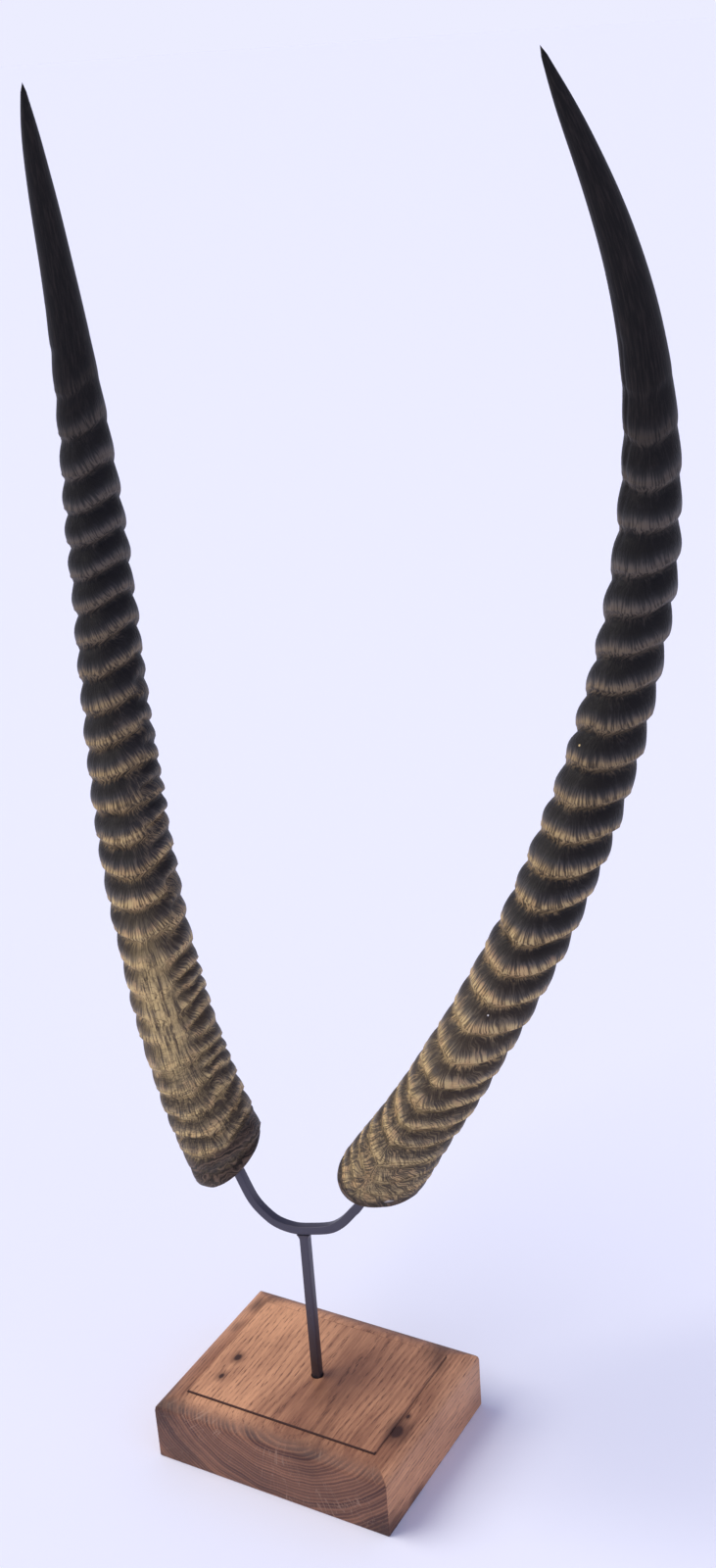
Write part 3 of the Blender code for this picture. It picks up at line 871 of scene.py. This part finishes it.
def build_yoke(material):
    """The yoke, a square bar bent to a U whose ends stand in the horns."""
    line = yoke_line()
    ahead = np.gradient(line, axis=0)
    ahead /= np.linalg.norm(ahead, axis=1, keepdims=True)
    front = np.array([0.0, -1.0, 0.0]) - ahead * -ahead[:, 1:2]
    front /= np.linalg.norm(front, axis=1, keepdims=True)
    up = np.cross(ahead, front)
    section = bar_section(BAR_SIDE / 2)
    loops = [[MOUNT @ Vector(p + u * x + f * y) for x, y in section] for p, u, f in zip(line, up, front)]
    bm = bmesh.new()
    extrude_through(bm, loops)
    return finish_piece(bm, "yoke_bar_dressed", material, "yoke_bar", BAR_SMOOTH)


def build_upright(material):
    """The upright bar, whose head widens into the weld and follows the yoke's underside."""
    line = yoke_line()
    half = BAR_SIDE / 2
    loops = [[MOUNT @ Vector((x, y, HOLE_FLOOR + GAP)) for x, y in bar_section(half)]]
    for below, spread in WELD_STEPS:
        reach = WELD_REACH * spread
        loop = []
        for x, y in bar_section(half, reach, reach * 0.2):
            under = np.interp(x, line[:, 0], line[:, 2]) - half * UNDER_SLOPE - GAP
            loop.append(MOUNT @ Vector((x, y, under - below * WELD_HEIGHT)))
        loops.append(loop)
    bm = bmesh.new()
    extrude_through(bm, loops)
    return finish_piece(bm, "upright_bar_dressed", material, "upright_bar", BAR_SMOOTH)


def build_block(material):
    """The oak block: rounded shoulder, hollowed margin and a raised field with the drilled hole."""
    slope_top = BLOCK_HEIGHT - FIELD_STEP
    slope_rise = slope_top - SHOULDER_HEIGHT + SHOULDER_DROP

    # Inset and height of the outline, from the underside up to the field.
    outline = [
        (FOOT_EASE, 0.0),
        (0.25 * MM, 0.25 * MM),
        (0.0, FOOT_EASE),
        (0.0, SHOULDER_HEIGHT - 2.0 * MM),
    ]
    for k in range(1, SHOULDER_STEPS + 1):
        share = k / SHOULDER_STEPS
        inset = (FIELD_MARGIN - 0.35 * MM) * share**1.45
        climb = slope_rise * math.sin(share * math.pi / 2) ** 0.9
        outline.append((inset, SHOULDER_HEIGHT - SHOULDER_DROP + climb))
    outline.append((FIELD_MARGIN - 0.3 * MM, slope_top - 0.25 * MM))
    outline.append((FIELD_MARGIN, BLOCK_HEIGHT - 0.15 * MM))
    outline.append((FIELD_MARGIN + 0.15 * MM, BLOCK_HEIGHT))
    loops = []
    for inset, height in outline:
        x, y = BLOCK_LENGTH / 2 - inset, BLOCK_DEPTH / 2 - inset
        loops.append([(-x, -y, height), (x, -y, height), (x, y, height), (-x, y, height)])
    bm = bmesh.new()
    extrude_through(bm, loops)
    corners = [edge for edge in bm.edges if is_corner(edge)]
    bmesh.ops.bevel(
        bm,
        geom=corners,
        offset=CORNER_EASE,
        offset_type="OFFSET",
        segments=2,
        profile=0.5,
        affect="EDGES",
        material=-1,
    )
    block = finish_piece(bm, "base_block_dressed", material, "base_block", BLOCK_SMOOTH)
    cutter_mesh = bmesh.new()
    tall = BLOCK_HEIGHT
    bmesh.ops.create_cone(
        cutter_mesh,
        cap_ends=True,
        segments=HOLE_SIDES,
        radius1=HOLE_RADIUS,
        radius2=HOLE_RADIUS,
        depth=tall,
        matrix=Matrix.Translation(MOUNT_PLACE + Vector((0, 0, HOLE_FLOOR + tall / 2))),
    )
    mesh = bpy.data.meshes.new("hole_cutter")
    cutter_mesh.to_mesh(mesh)
    cutter_mesh.free()
    cutter = bpy.data.objects.new("hole_cutter", mesh)
    bpy.context.scene.collection.objects.link(cutter)
    cut = block.modifiers.new("hole", "BOOLEAN")
    cut.operation = "DIFFERENCE"
    cut.object = cutter
    bpy.context.view_layer.update()
    solid = bpy.data.meshes.new_from_object(block.evaluated_get(bpy.context.evaluated_depsgraph_get()))
    block.modifiers.clear()
    block.data = solid
    bpy.data.objects.remove(cutter, do_unlink=True)
    return block


def is_corner(edge):
    """Whether an edge runs along one of the block's four corners."""
    a, b = edge.verts[0].co, edge.verts[1].co
    apart = BLOCK_LENGTH / 2 - BLOCK_DEPTH / 2
    on_corner = all(abs(abs(point.x) - abs(point.y) - apart) < 0.01 * MM for point in (a, b))
    return on_corner and a.x * b.x > 0 and a.y * b.y > 0


def set_inputs(tree, node, inputs):
    """Sets a node's inputs, and links those that are given as another node's output."""
    for key, value in inputs.items():
        if isinstance(value, bpy.types.NodeSocket):
            tree.links.new(value, node.inputs[key])
        else:
            node.inputs[key].default_value = value


def add_node(tree, kind, inputs=(), output=0, **settings):
    """Adds a node with its settings and its inputs by name or in order, and gives one of its outputs."""
    node = tree.nodes.new(kind)
    for name, value in settings.items():
        setattr(node, name, value)
    set_inputs(tree, node, inputs if isinstance(inputs, dict) else dict(enumerate(inputs)))
    return node.outputs[output]


def new_material(name):
    """A material with its tree and its Principled shader."""
    material = bpy.data.materials.new(name)
    material.use_nodes = True
    tree = material.node_tree
    return material, tree, tree.nodes["Principled BSDF"]


def random_patterns(tree, table, sources):
    """A material's random patterns by name, stretched along what each of them follows."""
    made = {}
    for name, (source, scale, shift, size, detail, roughness, swirl) in table.items():
        inputs = {"Vector": sources[source], "Location": (shift, 0, 0), "Scale": scale}
        inputs = {"Vector": add_node(tree, "ShaderNodeMapping", inputs), "Scale": 1 / (size * MM)}
        inputs.update({"Detail": detail, "Roughness": roughness, "Distortion": swirl})
        made[name] = add_node(tree, "ShaderNodeTexNoise", inputs)
    return made


def swayed(tree, base, pattern, amount):
    """A value moved up and down by a random pattern."""
    away = add_node(tree, MATH, (pattern, 0.5), operation="SUBTRACT")
    return add_node(tree, MATH, (away, amount, base), operation="MULTIPLY_ADD")


def thin_lines(tree, pattern, edge, core=0.0):
    """Thin lines where a random pattern passes through its middle value."""
    away = add_node(tree, MATH, (pattern, 0.5), operation="SUBTRACT")
    away = add_node(tree, MATH, (away,), operation="ABSOLUTE")
    return add_node(tree, RANGE, (away, edge, core), **SMOOTH)


def horn_color(tree, height, settings, part):
    """A part's colour, which goes from its lower tone to its middle and upper ones."""
    low, middle, high = (getattr(settings, f"{part}_{zone}") for zone in ("low", "mid", "high"))
    to_middle = add_node(tree, RANGE, (height, 60, 215), **SMOOTH)
    to_high = add_node(tree, RANGE, (height, 200, 430), **SMOOTH)
    lower = add_node(tree, MIX, {0: to_middle, 6: low, 7: middle}, **COLORS)
    return add_node(tree, MIX, {0: to_high, 6: lower, 7: high}, **COLORS)


def distance_from(tree, place, spot, scale):
    """Distance from a spot, measured in a space that is stretched."""
    away = add_node(tree, "ShaderNodeVectorMath", (place, spot), operation="SUBTRACT")
    away = add_node(tree, "ShaderNodeMapping", {"Vector": away, "Scale": scale})
    return add_node(tree, "ShaderNodeVectorMath", (away,), "Value", operation="LENGTH")


def ringed_color(tree, settings, value, pattern):
    """The colour of the ringed length: dark hollows, partly painted shade, fibrous slopes with a painted
    highlight just above the crests, and worn crests.
    """
    add = partial(add_node, tree)
    names = ("dark", "slope", "crest")
    dark, slope, crest = (horn_color(tree, value["height"], settings, part) for part in names)
    comb = add(RANGE, (pattern["strands"], 0.38, 0.62), **SMOOTH)
    streaks = swayed(tree, value["tone"], pattern["bundles"], 0.8)
    streaks = swayed(tree, streaks, pattern["patches"], 0.6)
    combed = add(MATH, (comb, 0.85, 0.38), operation="MULTIPLY_ADD")
    streaks = add(MATH, (streaks, combed), operation="MULTIPLY")
    low_comb = add(RANGE, (value["height"], 230, 60, 0.14, 0.27), **SMOOTH)
    streaks = add(MATH, (comb, low_comb, streaks), operation="MULTIPLY_ADD")
    pale = add(MIX, {0: value["tan"], 6: slope, 7: crest}, **COLORS)
    color = add(MIX, {0: add(RANGE, (streaks, 0.0, 1.05), **SMOOTH), 6: dark, 7: pale}, **COLORS)

    # The palest fibres stand on the crests, and parts of the lower crests have an orange tinge.
    glint = add(MATH, (add(RANGE, (streaks, 0.85, 1.35), **SMOOTH), value["tan"]), operation="MULTIPLY")
    low_glint = add(RANGE, (value["height"], 400, 110, 0.0, 0.9), **SMOOTH)
    glint = add(MATH, (glint, low_glint), operation="MULTIPLY")
    color = add(MIX, {0: glint, 6: color, 7: settings.fleck}, **COLORS)
    tinge = add(RANGE, (pattern["tinge"], 0.46, 0.66), **SMOOTH)
    tinge = add(MATH, (tinge, add(RANGE, (streaks, 0.35, 1.0), **SMOOTH)), operation="MULTIPLY")
    low_tinge = add(RANGE, (value["height"], 280, 130, 0.0, 0.36), **SMOOTH)
    tinge = add(MATH, (tinge, low_tinge), operation="MULTIPLY")
    color = add(MIX, {0: tinge, 6: color, 7: settings.warm}, **COLORS)

    worn_tone = swayed(tree, pattern["wide_strands"], pattern["strands"], 0.5)
    worn_tone = add(RANGE, (worn_tone, 0.33, 0.6), **SMOOTH)
    worn_color = add(MIX, {0: worn_tone, 6: settings.worn_dark, 7: settings.fleck}, **COLORS)
    worn = add(MATH, (value["worn"], 0.75), operation="MULTIPLY")
    return add(MIX, {0: worn, 6: color, 7: worn_color}, **COLORS)


def flecked(tree, color, settings, place, grain):
    """The colour with the small pale marks laid over it."""
    for horn, height, angle, reach, breadth, white in FLECKS:
        scale = (1 / reach, 1 / reach, 1 / breadth)
        away = distance_from(tree, place, skin_place(HORNS[horn], height, angle), scale)
        away = add_node(tree, MATH, (grain, 0.5 * MM, away), operation="MULTIPLY_ADD")
        mark = add_node(tree, RANGE, (away, 1.35 * MM, 0.95 * MM), **SMOOTH)
        paint = settings.chalk if white else settings.fleck
        color = add_node(tree, MIX, {0: mark, 6: color, 7: paint}, **COLORS)
    return color


def sawn_color(tree, color, settings, value, patches):
    """The colour with the rough, layered dark of the sawn end laid over it."""
    add = partial(add_node, tree)
    depth = add(MATH, (patches, 9.0), operation="MULTIPLY")
    depth = add(MATH, (value["height"], 0.22, depth), operation="MULTIPLY_ADD")
    layered = add("ShaderNodeCombineXYZ", {0: add(MATH, (patches, 2.0), operation="MULTIPLY"), 2: depth})
    inputs = {"Vector": layered, "Scale": 1 / SAWN_LAYER, "Detail": 3.0, "Roughness": 0.65}
    layers = add(RANGE, (add("ShaderNodeTexNoise", inputs), 0.42, 0.68), **SMOOTH)
    end_color = add(MIX, {0: layers, 6: settings.butt, 7: settings.butt_light}, **COLORS)
    cover = add(MATH, (patches, 1.2, value["butt"]), operation="MULTIPLY_ADD")
    cover = add(RANGE, (cover, 0.75, 1.3), **SMOOTH)
    cover = add(MATH, (cover, 0.9), operation="MULTIPLY")
    return add(MIX, {0: cover, 6: color, 7: end_color}, **COLORS)


def keratin_material(settings):
    """Horn keratin, dry and weathered: dark fibrous valleys, partly painted shade, worn tan crests and a
    smooth black tip.
    """
    material, tree, shader = new_material("weathered_horn_keratin")
    add = partial(add_node, tree)
    names = ("tone", "tan", "height", "worn", "ringed", "butt")
    value = {name: add("ShaderNodeAttribute", output="Fac", attribute_name=name) for name in names}
    fibre = add("ShaderNodeAttribute", output="Vector", attribute_name="fibre")
    place = add("ShaderNodeTexCoord", output="Object")
    pattern = random_patterns(tree, KERATIN_PATTERNS, {"fibre": fibre, "place": place})
    color = ringed_color(tree, settings, value, pattern)

    # Growth lines run round the lowest part beside the rings, and cracks over the worn patch.
    low_growth = add(RANGE, (value["height"], 120, 35, 0.0, 0.75), **SMOOTH)
    growth = add(MATH, (thin_lines(tree, pattern["growth"], 0.045), low_growth), operation="MULTIPLY")
    cracked = add(RANGE, (pattern["patches"], 0.46, 0.54), **SMOOTH)
    cracked = add(MATH, (value["worn"], cracked), operation="MULTIPLY")
    cracks = add(MATH, (thin_lines(tree, pattern["cracks"], 0.016), cracked), operation="MULTIPLY")
    growth = add(MATH, (growth, 0.8), operation="MULTIPLY")
    lines = add(MATH, (growth, cracks), operation="MAXIMUM")
    color = add(MIX, {0: lines, 6: color, 7: settings.butt}, **COLORS)
    color = flecked(tree, color, settings, place, pattern["grain"])

    streak = add(RANGE, (pattern["strands"], 0.4, 0.75), **SMOOTH)
    tip_color = add(MIX, {0: streak, 6: settings.tip, 7: settings.tip_streak}, **COLORS)
    color = add(MIX, {0: value["ringed"], 6: tip_color, 7: color}, **COLORS)
    color = sawn_color(tree, color, settings, value, pattern["patches"])

    # Slopes above the crests are the most polished, and tan crests the least.
    polish = add(MATH, (1.2, value["tan"]), operation="SUBTRACT")
    polish = add(MATH, (value["tone"], polish), operation="MULTIPLY")
    polish = add(MATH, (polish, value["ringed"]), operation="MULTIPLY")

    # Fibres stand up from the skin, less on the tip, and the lines are cut in.
    depth = add(MATH, (value["ringed"], 0.75, 0.25), operation="MULTIPLY_ADD")
    relief = add(MATH, (pattern["bundles"], 0.6, pattern["strands"]), operation="MULTIPLY_ADD")
    fine_relief = add(MATH, (pattern["grain"], 0.12), operation="MULTIPLY")
    relief = add(MATH, (relief, depth, fine_relief), operation="MULTIPLY_ADD")
    relief = add(MATH, (lines, -0.5, relief), operation="MULTIPLY_ADD")
    inputs = {
        "Base Color": color,
        "Roughness": add(MATH, (pattern["strands"], 0.3, 0.34), operation="MULTIPLY_ADD"),
        "Specular IOR Level": add(MATH, (polish, 0.45, 0.1), operation="MULTIPLY_ADD"),
        "IOR": KERATIN_IOR,
        "Normal": add("ShaderNodeBump", {"Strength": 0.9, "Distance": 0.7 * MM, "Height": relief}),
    }
    set_inputs(tree, shader, inputs)
    return material


def oak_years(tree, settings, parts, pattern):
    """The rings round the pith: distance, years, the porous part of each year, and groups of years."""
    add = partial(add_node, tree)
    across = add(MATH, (parts["X"], PITH[0]), operation="SUBTRACT")
    down = add(MATH, (PITH[1], parts["Z"]), operation="SUBTRACT")
    square = add(MATH, (down, down), operation="MULTIPLY")
    square = add(MATH, (across, across, square), operation="MULTIPLY_ADD")
    radius = add(MATH, (square,), operation="SQRT")
    wave = add(MATH, (pattern["fine"], 1.8 * MM), operation="MULTIPLY")
    wave = add(MATH, (pattern["slow"], 13 * MM, wave), operation="MULTIPLY_ADD")
    years = add(MATH, (radius, wave), operation="ADD")
    years = add(MATH, (years, settings.ring_pitch), operation="DIVIDE")
    year = add(MATH, (years,), operation="FRACT")
    opens = add(RANGE, (year, 0.0, 0.12), **SMOOTH)
    closes = add(RANGE, (year, 0.6, 0.2), **SMOOTH)
    porous = add(MATH, (opens, closes), operation="MULTIPLY")
    count = add("ShaderNodeCombineXYZ", (years,))
    inputs = {"Vector": count, "Scale": 1 / YEAR_GROUP, "Detail": 2.0, "Roughness": 0.6}
    group = add("ShaderNodeTexNoise", inputs)
    lean = add(MATH, (across, down), operation="ARCTAN2")
    return radius, lean, porous, group


def along_grain(tree, settings, parts, pattern, porous, group):
    """The colour of the faces along the grain, and how open the pores are."""
    add = partial(add_node, tree)
    share = add(MATH, (pattern["fibres"], 0.7), operation="MULTIPLY")
    share = add(MATH, (pattern["streak"], 0.9, share), operation="MULTIPLY_ADD")
    share = add(MATH, (porous, -0.16, share), operation="MULTIPLY_ADD")
    share = add(MATH, (pattern["blotch"], -1.1, share), operation="MULTIPLY_ADD")
    # The last of the parts paints light on the right-hand end of the block.
    for direction, start, end, change in PALE_PARTS:
        paler = add(RANGE, (parts[direction], start * MM, end * MM, 0.0, change), **SMOOTH)
        share = add(MATH, (share, paler), operation="ADD")
    share = add(RANGE, (share, -0.15, 1.15), **SMOOTH)
    color = add(MIX, {0: share, 6: settings.mid, 7: settings.light}, **COLORS)
    pores = add(MATH, (group, 0.35), operation="MULTIPLY")
    pores = add(MATH, (porous, 0.5, pores), operation="MULTIPLY_ADD")
    pores = add(MATH, (pores, add(RANGE, (pattern["pores"], 0.52, 0.66), **SMOOTH)), operation="MULTIPLY")
    return add(MIX, {0: pores, 6: color, 7: settings.dark}, **COLORS), pores


def end_grain(tree, settings, pattern, radius, lean, porous, group):
    """The colour of the sawn ends: rings in dark and lighter groups, crossed by rays from the pith."""
    add = partial(add_node, tree)
    share = add(MATH, (porous, 0.4), operation="MULTIPLY")
    share = add(MATH, (group, 2.1, share), operation="MULTIPLY_ADD")
    share = add(MATH, (pattern["blotch"], 0.5, share), operation="MULTIPLY_ADD")
    share = add(RANGE, (share, 0.85, 1.95), **SMOOTH)
    color = add(MIX, {0: share, 6: settings.end_dark, 7: settings.end_light}, **COLORS)
    specks = add(MATH, (add(RANGE, (pattern["speck"], 0.5, 0.72), **SMOOTH), 0.4), operation="MULTIPLY")
    color = add(MIX, {0: specks, 6: color, 7: settings.end_dark}, **COLORS)
    fan = add("ShaderNodeCombineXYZ", {0: lean, 2: add(MATH, (radius, 1.4), operation="MULTIPLY")})
    inputs = {"Vector": fan, "Scale": 1 / RAY_ANGLE, "Detail": 1.0, "Roughness": 0.4}
    rays = thin_lines(tree, add("ShaderNodeTexNoise", inputs), 0.014, 0.003)
    rays = add(MATH, (rays, add(RANGE, (pattern["gaps"], 0.44, 0.54), **SMOOTH)), operation="MULTIPLY")
    rays = add(MATH, (rays, 0.7), operation="MULTIPLY")
    return add(MIX, {0: rays, 6: color, 7: settings.ray}, **COLORS)


def saw_line_shade(tree, parts, streak):
    """Painted shade in the saw line round the raised field, strongest along the front."""
    add = partial(add_node, tree)
    sides = {"X": BLOCK_LENGTH / 2 - FIELD_MARGIN, "Y": BLOCK_DEPTH / 2 - FIELD_MARGIN}
    out = []
    for direction, half in sides.items():
        reach = add(MATH, (parts[direction],), operation="ABSOLUTE")
        out.append(add(MATH, (reach, half), operation="SUBTRACT"))
    edge = add(MATH, out, operation="MAXIMUM")
    edge = add(MATH, (edge,), operation="ABSOLUTE")
    near = add(RANGE, (edge, 0.75 * MM, 0.3 * MM), **SMOOTH)
    high = add(RANGE, (parts["Z"], 40 * MM, 44 * MM), **SMOOTH)
    line = add(MATH, (near, high), operation="MULTIPLY")
    front = add(RANGE, (parts["Y"], 3 * MM - sides["Y"], 1 * MM - sides["Y"]), **SMOOTH)
    patchy = add(RANGE, (streak, 0.4, 0.7, 0.1, 0.6), **SMOOTH)
    line = add(MATH, (line, add(MATH, (front, patchy), operation="MAXIMUM")), operation="MULTIPLY")
    return add(MATH, (line, 0.95), operation="MULTIPLY")


def marked(tree, color, settings, place, pattern):
    """The colour with the stains and knots laid over it."""
    add = partial(add_node, tree)
    for x, y, z, size, strength in STAINS:
        away = distance_from(tree, place, (x * MM, y * MM, z * MM), MARK_STRETCH)
        away = add(MATH, (pattern["streak"], size * MM, away), operation="MULTIPLY_ADD")
        cover = add(RANGE, (away, size * 1.7 * MM, size * 0.7 * MM, 0.0, strength), **SMOOTH)
        color = add(MIX, {0: cover, 6: color, 7: settings.stain}, **COLORS)
    for x, y, z, size in KNOTS:
        away = distance_from(tree, place, (x * MM, y * MM, z * MM), MARK_STRETCH)
        away = add(MATH, (pattern["fine"], 2.6 * MM, away), operation="MULTIPLY_ADD")
        away = add(MATH, (pattern["streak"], 2.0 * MM, away), operation="MULTIPLY_ADD")
        whorl = add(RANGE, (away, (size * 2.4 + 2.3) * MM, (size + 2.3) * MM, 0.0, 0.5), **SMOOTH)
        color = add(MIX, {0: whorl, 6: color, 7: settings.dark}, **COLORS)
        core = add(RANGE, (away, (size + 2.7) * MM, (size * 0.6 + 2.3) * MM, 0.0, 0.95), **SMOOTH)
        color = add(MIX, {0: core, 6: color, 7: settings.knot}, **COLORS)
    return color


def oak_material(settings):
    """Oiled oak, sawn and sanded: grain along Y, rings round a pith above it, pale rays and open pores."""
    material, tree, shader = new_material("oiled_oak_sanded")
    add = partial(add_node, tree)
    place = add("ShaderNodeTexCoord", output="Object")
    parts = add("ShaderNodeSeparateXYZ", (place,)).node.outputs
    pattern = random_patterns(tree, OAK_PATTERNS, {"place": place})
    radius, lean, porous, group = oak_years(tree, settings, parts, pattern)
    along, pores = along_grain(tree, settings, parts, pattern, porous, group)
    end = end_grain(tree, settings, pattern, radius, lean, porous, group)

    # End grain shows where the face is turned along Y.
    normal = add("ShaderNodeNewGeometry", output="Normal")
    facing = add("ShaderNodeSeparateXYZ", (normal,), "Y")
    facing = add(MATH, (facing,), operation="ABSOLUTE")
    is_end = add(RANGE, (facing, 0.06, 0.55), **SMOOTH)
    color = add(MIX, {0: is_end, 6: along, 7: end}, **COLORS)
    # Painted shade in the saw line round the field, in the knot colour.
    painted_shade = saw_line_shade(tree, parts, pattern["streak"])
    color = add(MIX, {0: painted_shade, 6: color, 7: settings.knot}, **COLORS)
    color = marked(tree, color, settings, place, pattern)

    relief = add(MATH, (pattern["fibres"], 0.6), operation="MULTIPLY")
    relief = add(MATH, (relief, pores), operation="SUBTRACT")
    inputs = {
        "Base Color": color,
        "Roughness": add(MATH, (pattern["fibres"], 0.25, 0.4), operation="MULTIPLY_ADD"),
        "Specular IOR Level": 0.3,
        "Normal": add("ShaderNodeBump", {"Strength": 0.6, "Distance": 0.25 * MM, "Height": relief}),
    }
    set_inputs(tree, shader, inputs)
    return material


def steel_material(settings):
    """Hot-rolled mild steel, blackened: satin grey mill scale with a brown tinge and small scratches."""
    material, tree, shader = new_material("blackened_mild_steel")
    add = partial(add_node, tree)
    place = add("ShaderNodeTexCoord", output="Object")
    pattern = random_patterns(tree, STEEL_PATTERNS, {"place": place})
    low = add(RANGE, (add("ShaderNodeSeparateXYZ", (place,), "Z"), 150 * MM, 50 * MM), **SMOOTH)
    brown = add(MATH, (low, 0.6, pattern["cloud"]), operation="MULTIPLY_ADD")
    brown = add(MATH, (brown, 0.55), operation="MULTIPLY")
    brown = add(RANGE, (brown, 0.3, 0.8), **SMOOTH)
    color = add(MIX, {0: brown, 6: settings.scale_color, 7: settings.brown}, **COLORS)
    scratch = add(RANGE, (pattern["scratch"], 0.72, 0.78), **SMOOTH)
    scratch = add(MATH, (scratch, add(RANGE, (pattern["cloud"], 0.5, 0.6), **SMOOTH)), operation="MULTIPLY")
    scratch = add(MATH, (scratch, 0.8), operation="MULTIPLY")
    speckle = pattern["speckle"]
    inputs = {
        "Base Color": add(MIX, {0: scratch, 6: color, 7: settings.bare}, **COLORS),
        "Metallic": 0.55,
        "Roughness": add(MATH, (speckle, 0.2, settings.roughness - 0.1), operation="MULTIPLY_ADD"),
        "Normal": add("ShaderNodeBump", {"Strength": 0.35, "Distance": 0.08 * MM, "Height": speckle}),
    }
    set_inputs(tree, shader, inputs)
    return material


class TROPHY_OT_block(bpy.types.Operator):
    """Builds the oiled oak block with its bevelled margin, raised field and drilled hole"""

    bl_idname = "trophy.block"
    bl_label = "Oak Block"

    def execute(self, context):
        build_block(oak_material(context.scene.trophy_oak))
        return {"FINISHED"}


class TROPHY_OT_mount(bpy.types.Operator):
    """Builds the upright bar and the bent yoke bar"""

    bl_idname = "trophy.mount"
    bl_label = "Steel Mount"

    def execute(self, context):
        steel = steel_material(context.scene.trophy_steel)
        build_upright(steel)
        build_yoke(steel)
        return {"FINISHED"}


class TROPHY_OT_horns(bpy.types.Operator):
    """Builds the two ringed horns"""

    bl_idname = "trophy.horns"
    bl_label = "Horns"

    def execute(self, context):
        settings = context.scene.trophy_horn
        keratin = keratin_material(settings)
        for name, spec in HORNS.items():
            build_horn(name, spec, settings.sides, keratin)
        return {"FINISHED"}


class TROPHY_OT_stage(bpy.types.Operator):
    """Sets the floor, the soft lights and the camera"""

    bl_idname = "trophy.stage"
    bl_label = "Stage"

    def execute(self, context):
        settings = context.scene.trophy_stage
        bm = bmesh.new()
        bmesh.ops.create_circle(bm, cap_ends=True, segments=64, radius=FLOOR_RADIUS)
        mesh = bpy.data.meshes.new("floor")
        bm.to_mesh(mesh)
        bm.free()
        floor = bpy.data.objects.new("floor", mesh)
        context.scene.collection.objects.link(floor)
        material, tree, shader = new_material("pale_floor")
        finish = {"Base Color": settings.floor_color, "Roughness": 0.9, "Specular IOR Level": 0.1}
        set_inputs(tree, shader, finish)
        mesh.materials.append(material)

        world = bpy.data.worlds.new("soft_room")
        context.scene.world = world
        world.use_nodes = True
        background = world.node_tree.nodes["Background"]
        sky = add_node(world.node_tree, "ShaderNodeTexCoord", output="Generated")
        climb = add_node(world.node_tree, "ShaderNodeSeparateXYZ", (sky,), "Z")
        climb = add_node(world.node_tree, RANGE, (climb, 0.02, 0.5), **SMOOTH)
        room = add_node(world.node_tree, MIX, {0: climb, 6: settings.horizon, 7: settings.ceiling}, **COLORS)
        set_inputs(world.node_tree, background, {"Color": room})
        add_sun("key", KEY_FROM, settings.key_strength, KEY_WIDTH, linear(KEY_COLOR))
        add_sun("fill", FILL_FROM, settings.fill_strength, FILL_WIDTH, linear(FILL_COLOR))
        context.scene.view_settings.view_transform = "Standard"

        back = Vector(
            (
                math.sin(VIEW_AZIMUTH) * math.cos(VIEW_PITCH),
                -math.cos(VIEW_AZIMUTH) * math.cos(VIEW_PITCH),
                math.sin(VIEW_PITCH),
            )
        )
        right = Vector((math.cos(VIEW_AZIMUTH), math.sin(VIEW_AZIMUTH), 0))
        up = back.cross(right)
        tilted_right = right * math.cos(VIEW_ROLL) + up * math.sin(VIEW_ROLL)
        tilted_up = up * math.cos(VIEW_ROLL) - right * math.sin(VIEW_ROLL)
        data = bpy.data.cameras.new("photo_view")
        data.sensor_width = SENSOR
        data.lens = FOCAL_PIXELS * SENSOR / IMAGE_HEIGHT
        data.clip_end = VIEW_REACH
        camera = bpy.data.objects.new("photo_view", data)
        context.scene.collection.objects.link(camera)
        turned = Matrix((tilted_right, tilted_up, back)).transposed().to_4x4()
        camera.matrix_world = Matrix.Translation(VIEW_PLACE) @ turned
        context.scene.camera = camera
        return {"FINISHED"}


def add_sun(name, direction, strength, angle, color):
    """A soft distant light that shines from a direction."""
    data = bpy.data.lights.new(name, "SUN")
    data.energy = strength
    data.angle = angle
    data.color = color[:3]
    lamp = bpy.data.objects.new(name, data)
    bpy.context.scene.collection.objects.link(lamp)
    lamp.rotation_euler = Vector(direction).to_track_quat("Z", "Y").to_euler()
    return lamp


class TROPHY_PT_panel(bpy.types.Panel):
    """Lists the pieces of the trophy and their settings"""

    bl_label = "Horn Trophy"
    bl_idname = "TROPHY_PT_panel"
    bl_space_type = "VIEW_3D"
    bl_region_type = "UI"
    bl_category = "Trophy"

    def draw(self, context):
        for operator in OPERATORS:
            self.layout.operator(operator.bl_idname)
        for key, group in SETTINGS.items():
            box = self.layout.box()
            for name in group.__annotations__:
                box.prop(getattr(context.scene, key), name)


SETTINGS = {
    "trophy_oak": OakSettings,
    "trophy_steel": SteelSettings,
    "trophy_horn": HornSettings,
    "trophy_stage": StageSettings,
}
OPERATORS = (TROPHY_OT_block, TROPHY_OT_mount, TROPHY_OT_horns, TROPHY_OT_stage)


def register():
    """Adds the add-on's settings, operators and panel."""
    for cls in (*SETTINGS.values(), *OPERATORS, TROPHY_PT_panel):
        bpy.utils.register_class(cls)
    for key, group in SETTINGS.items():
        setattr(bpy.types.Scene, key, PointerProperty(type=group))


def unregister():
    """Takes the add-on's settings, operators and panel away."""
    for key in SETTINGS:
        delattr(bpy.types.Scene, key)
    for cls in reversed((*SETTINGS.values(), *OPERATORS, TROPHY_PT_panel)):
        bpy.utils.unregister_class(cls)


def main():
    """Builds every piece and the stage."""
    register()
    bpy.ops.trophy.block()
    bpy.ops.trophy.mount()
    bpy.ops.trophy.horns()
    bpy.ops.trophy.stage()


if __name__ == "__main__":
    main()
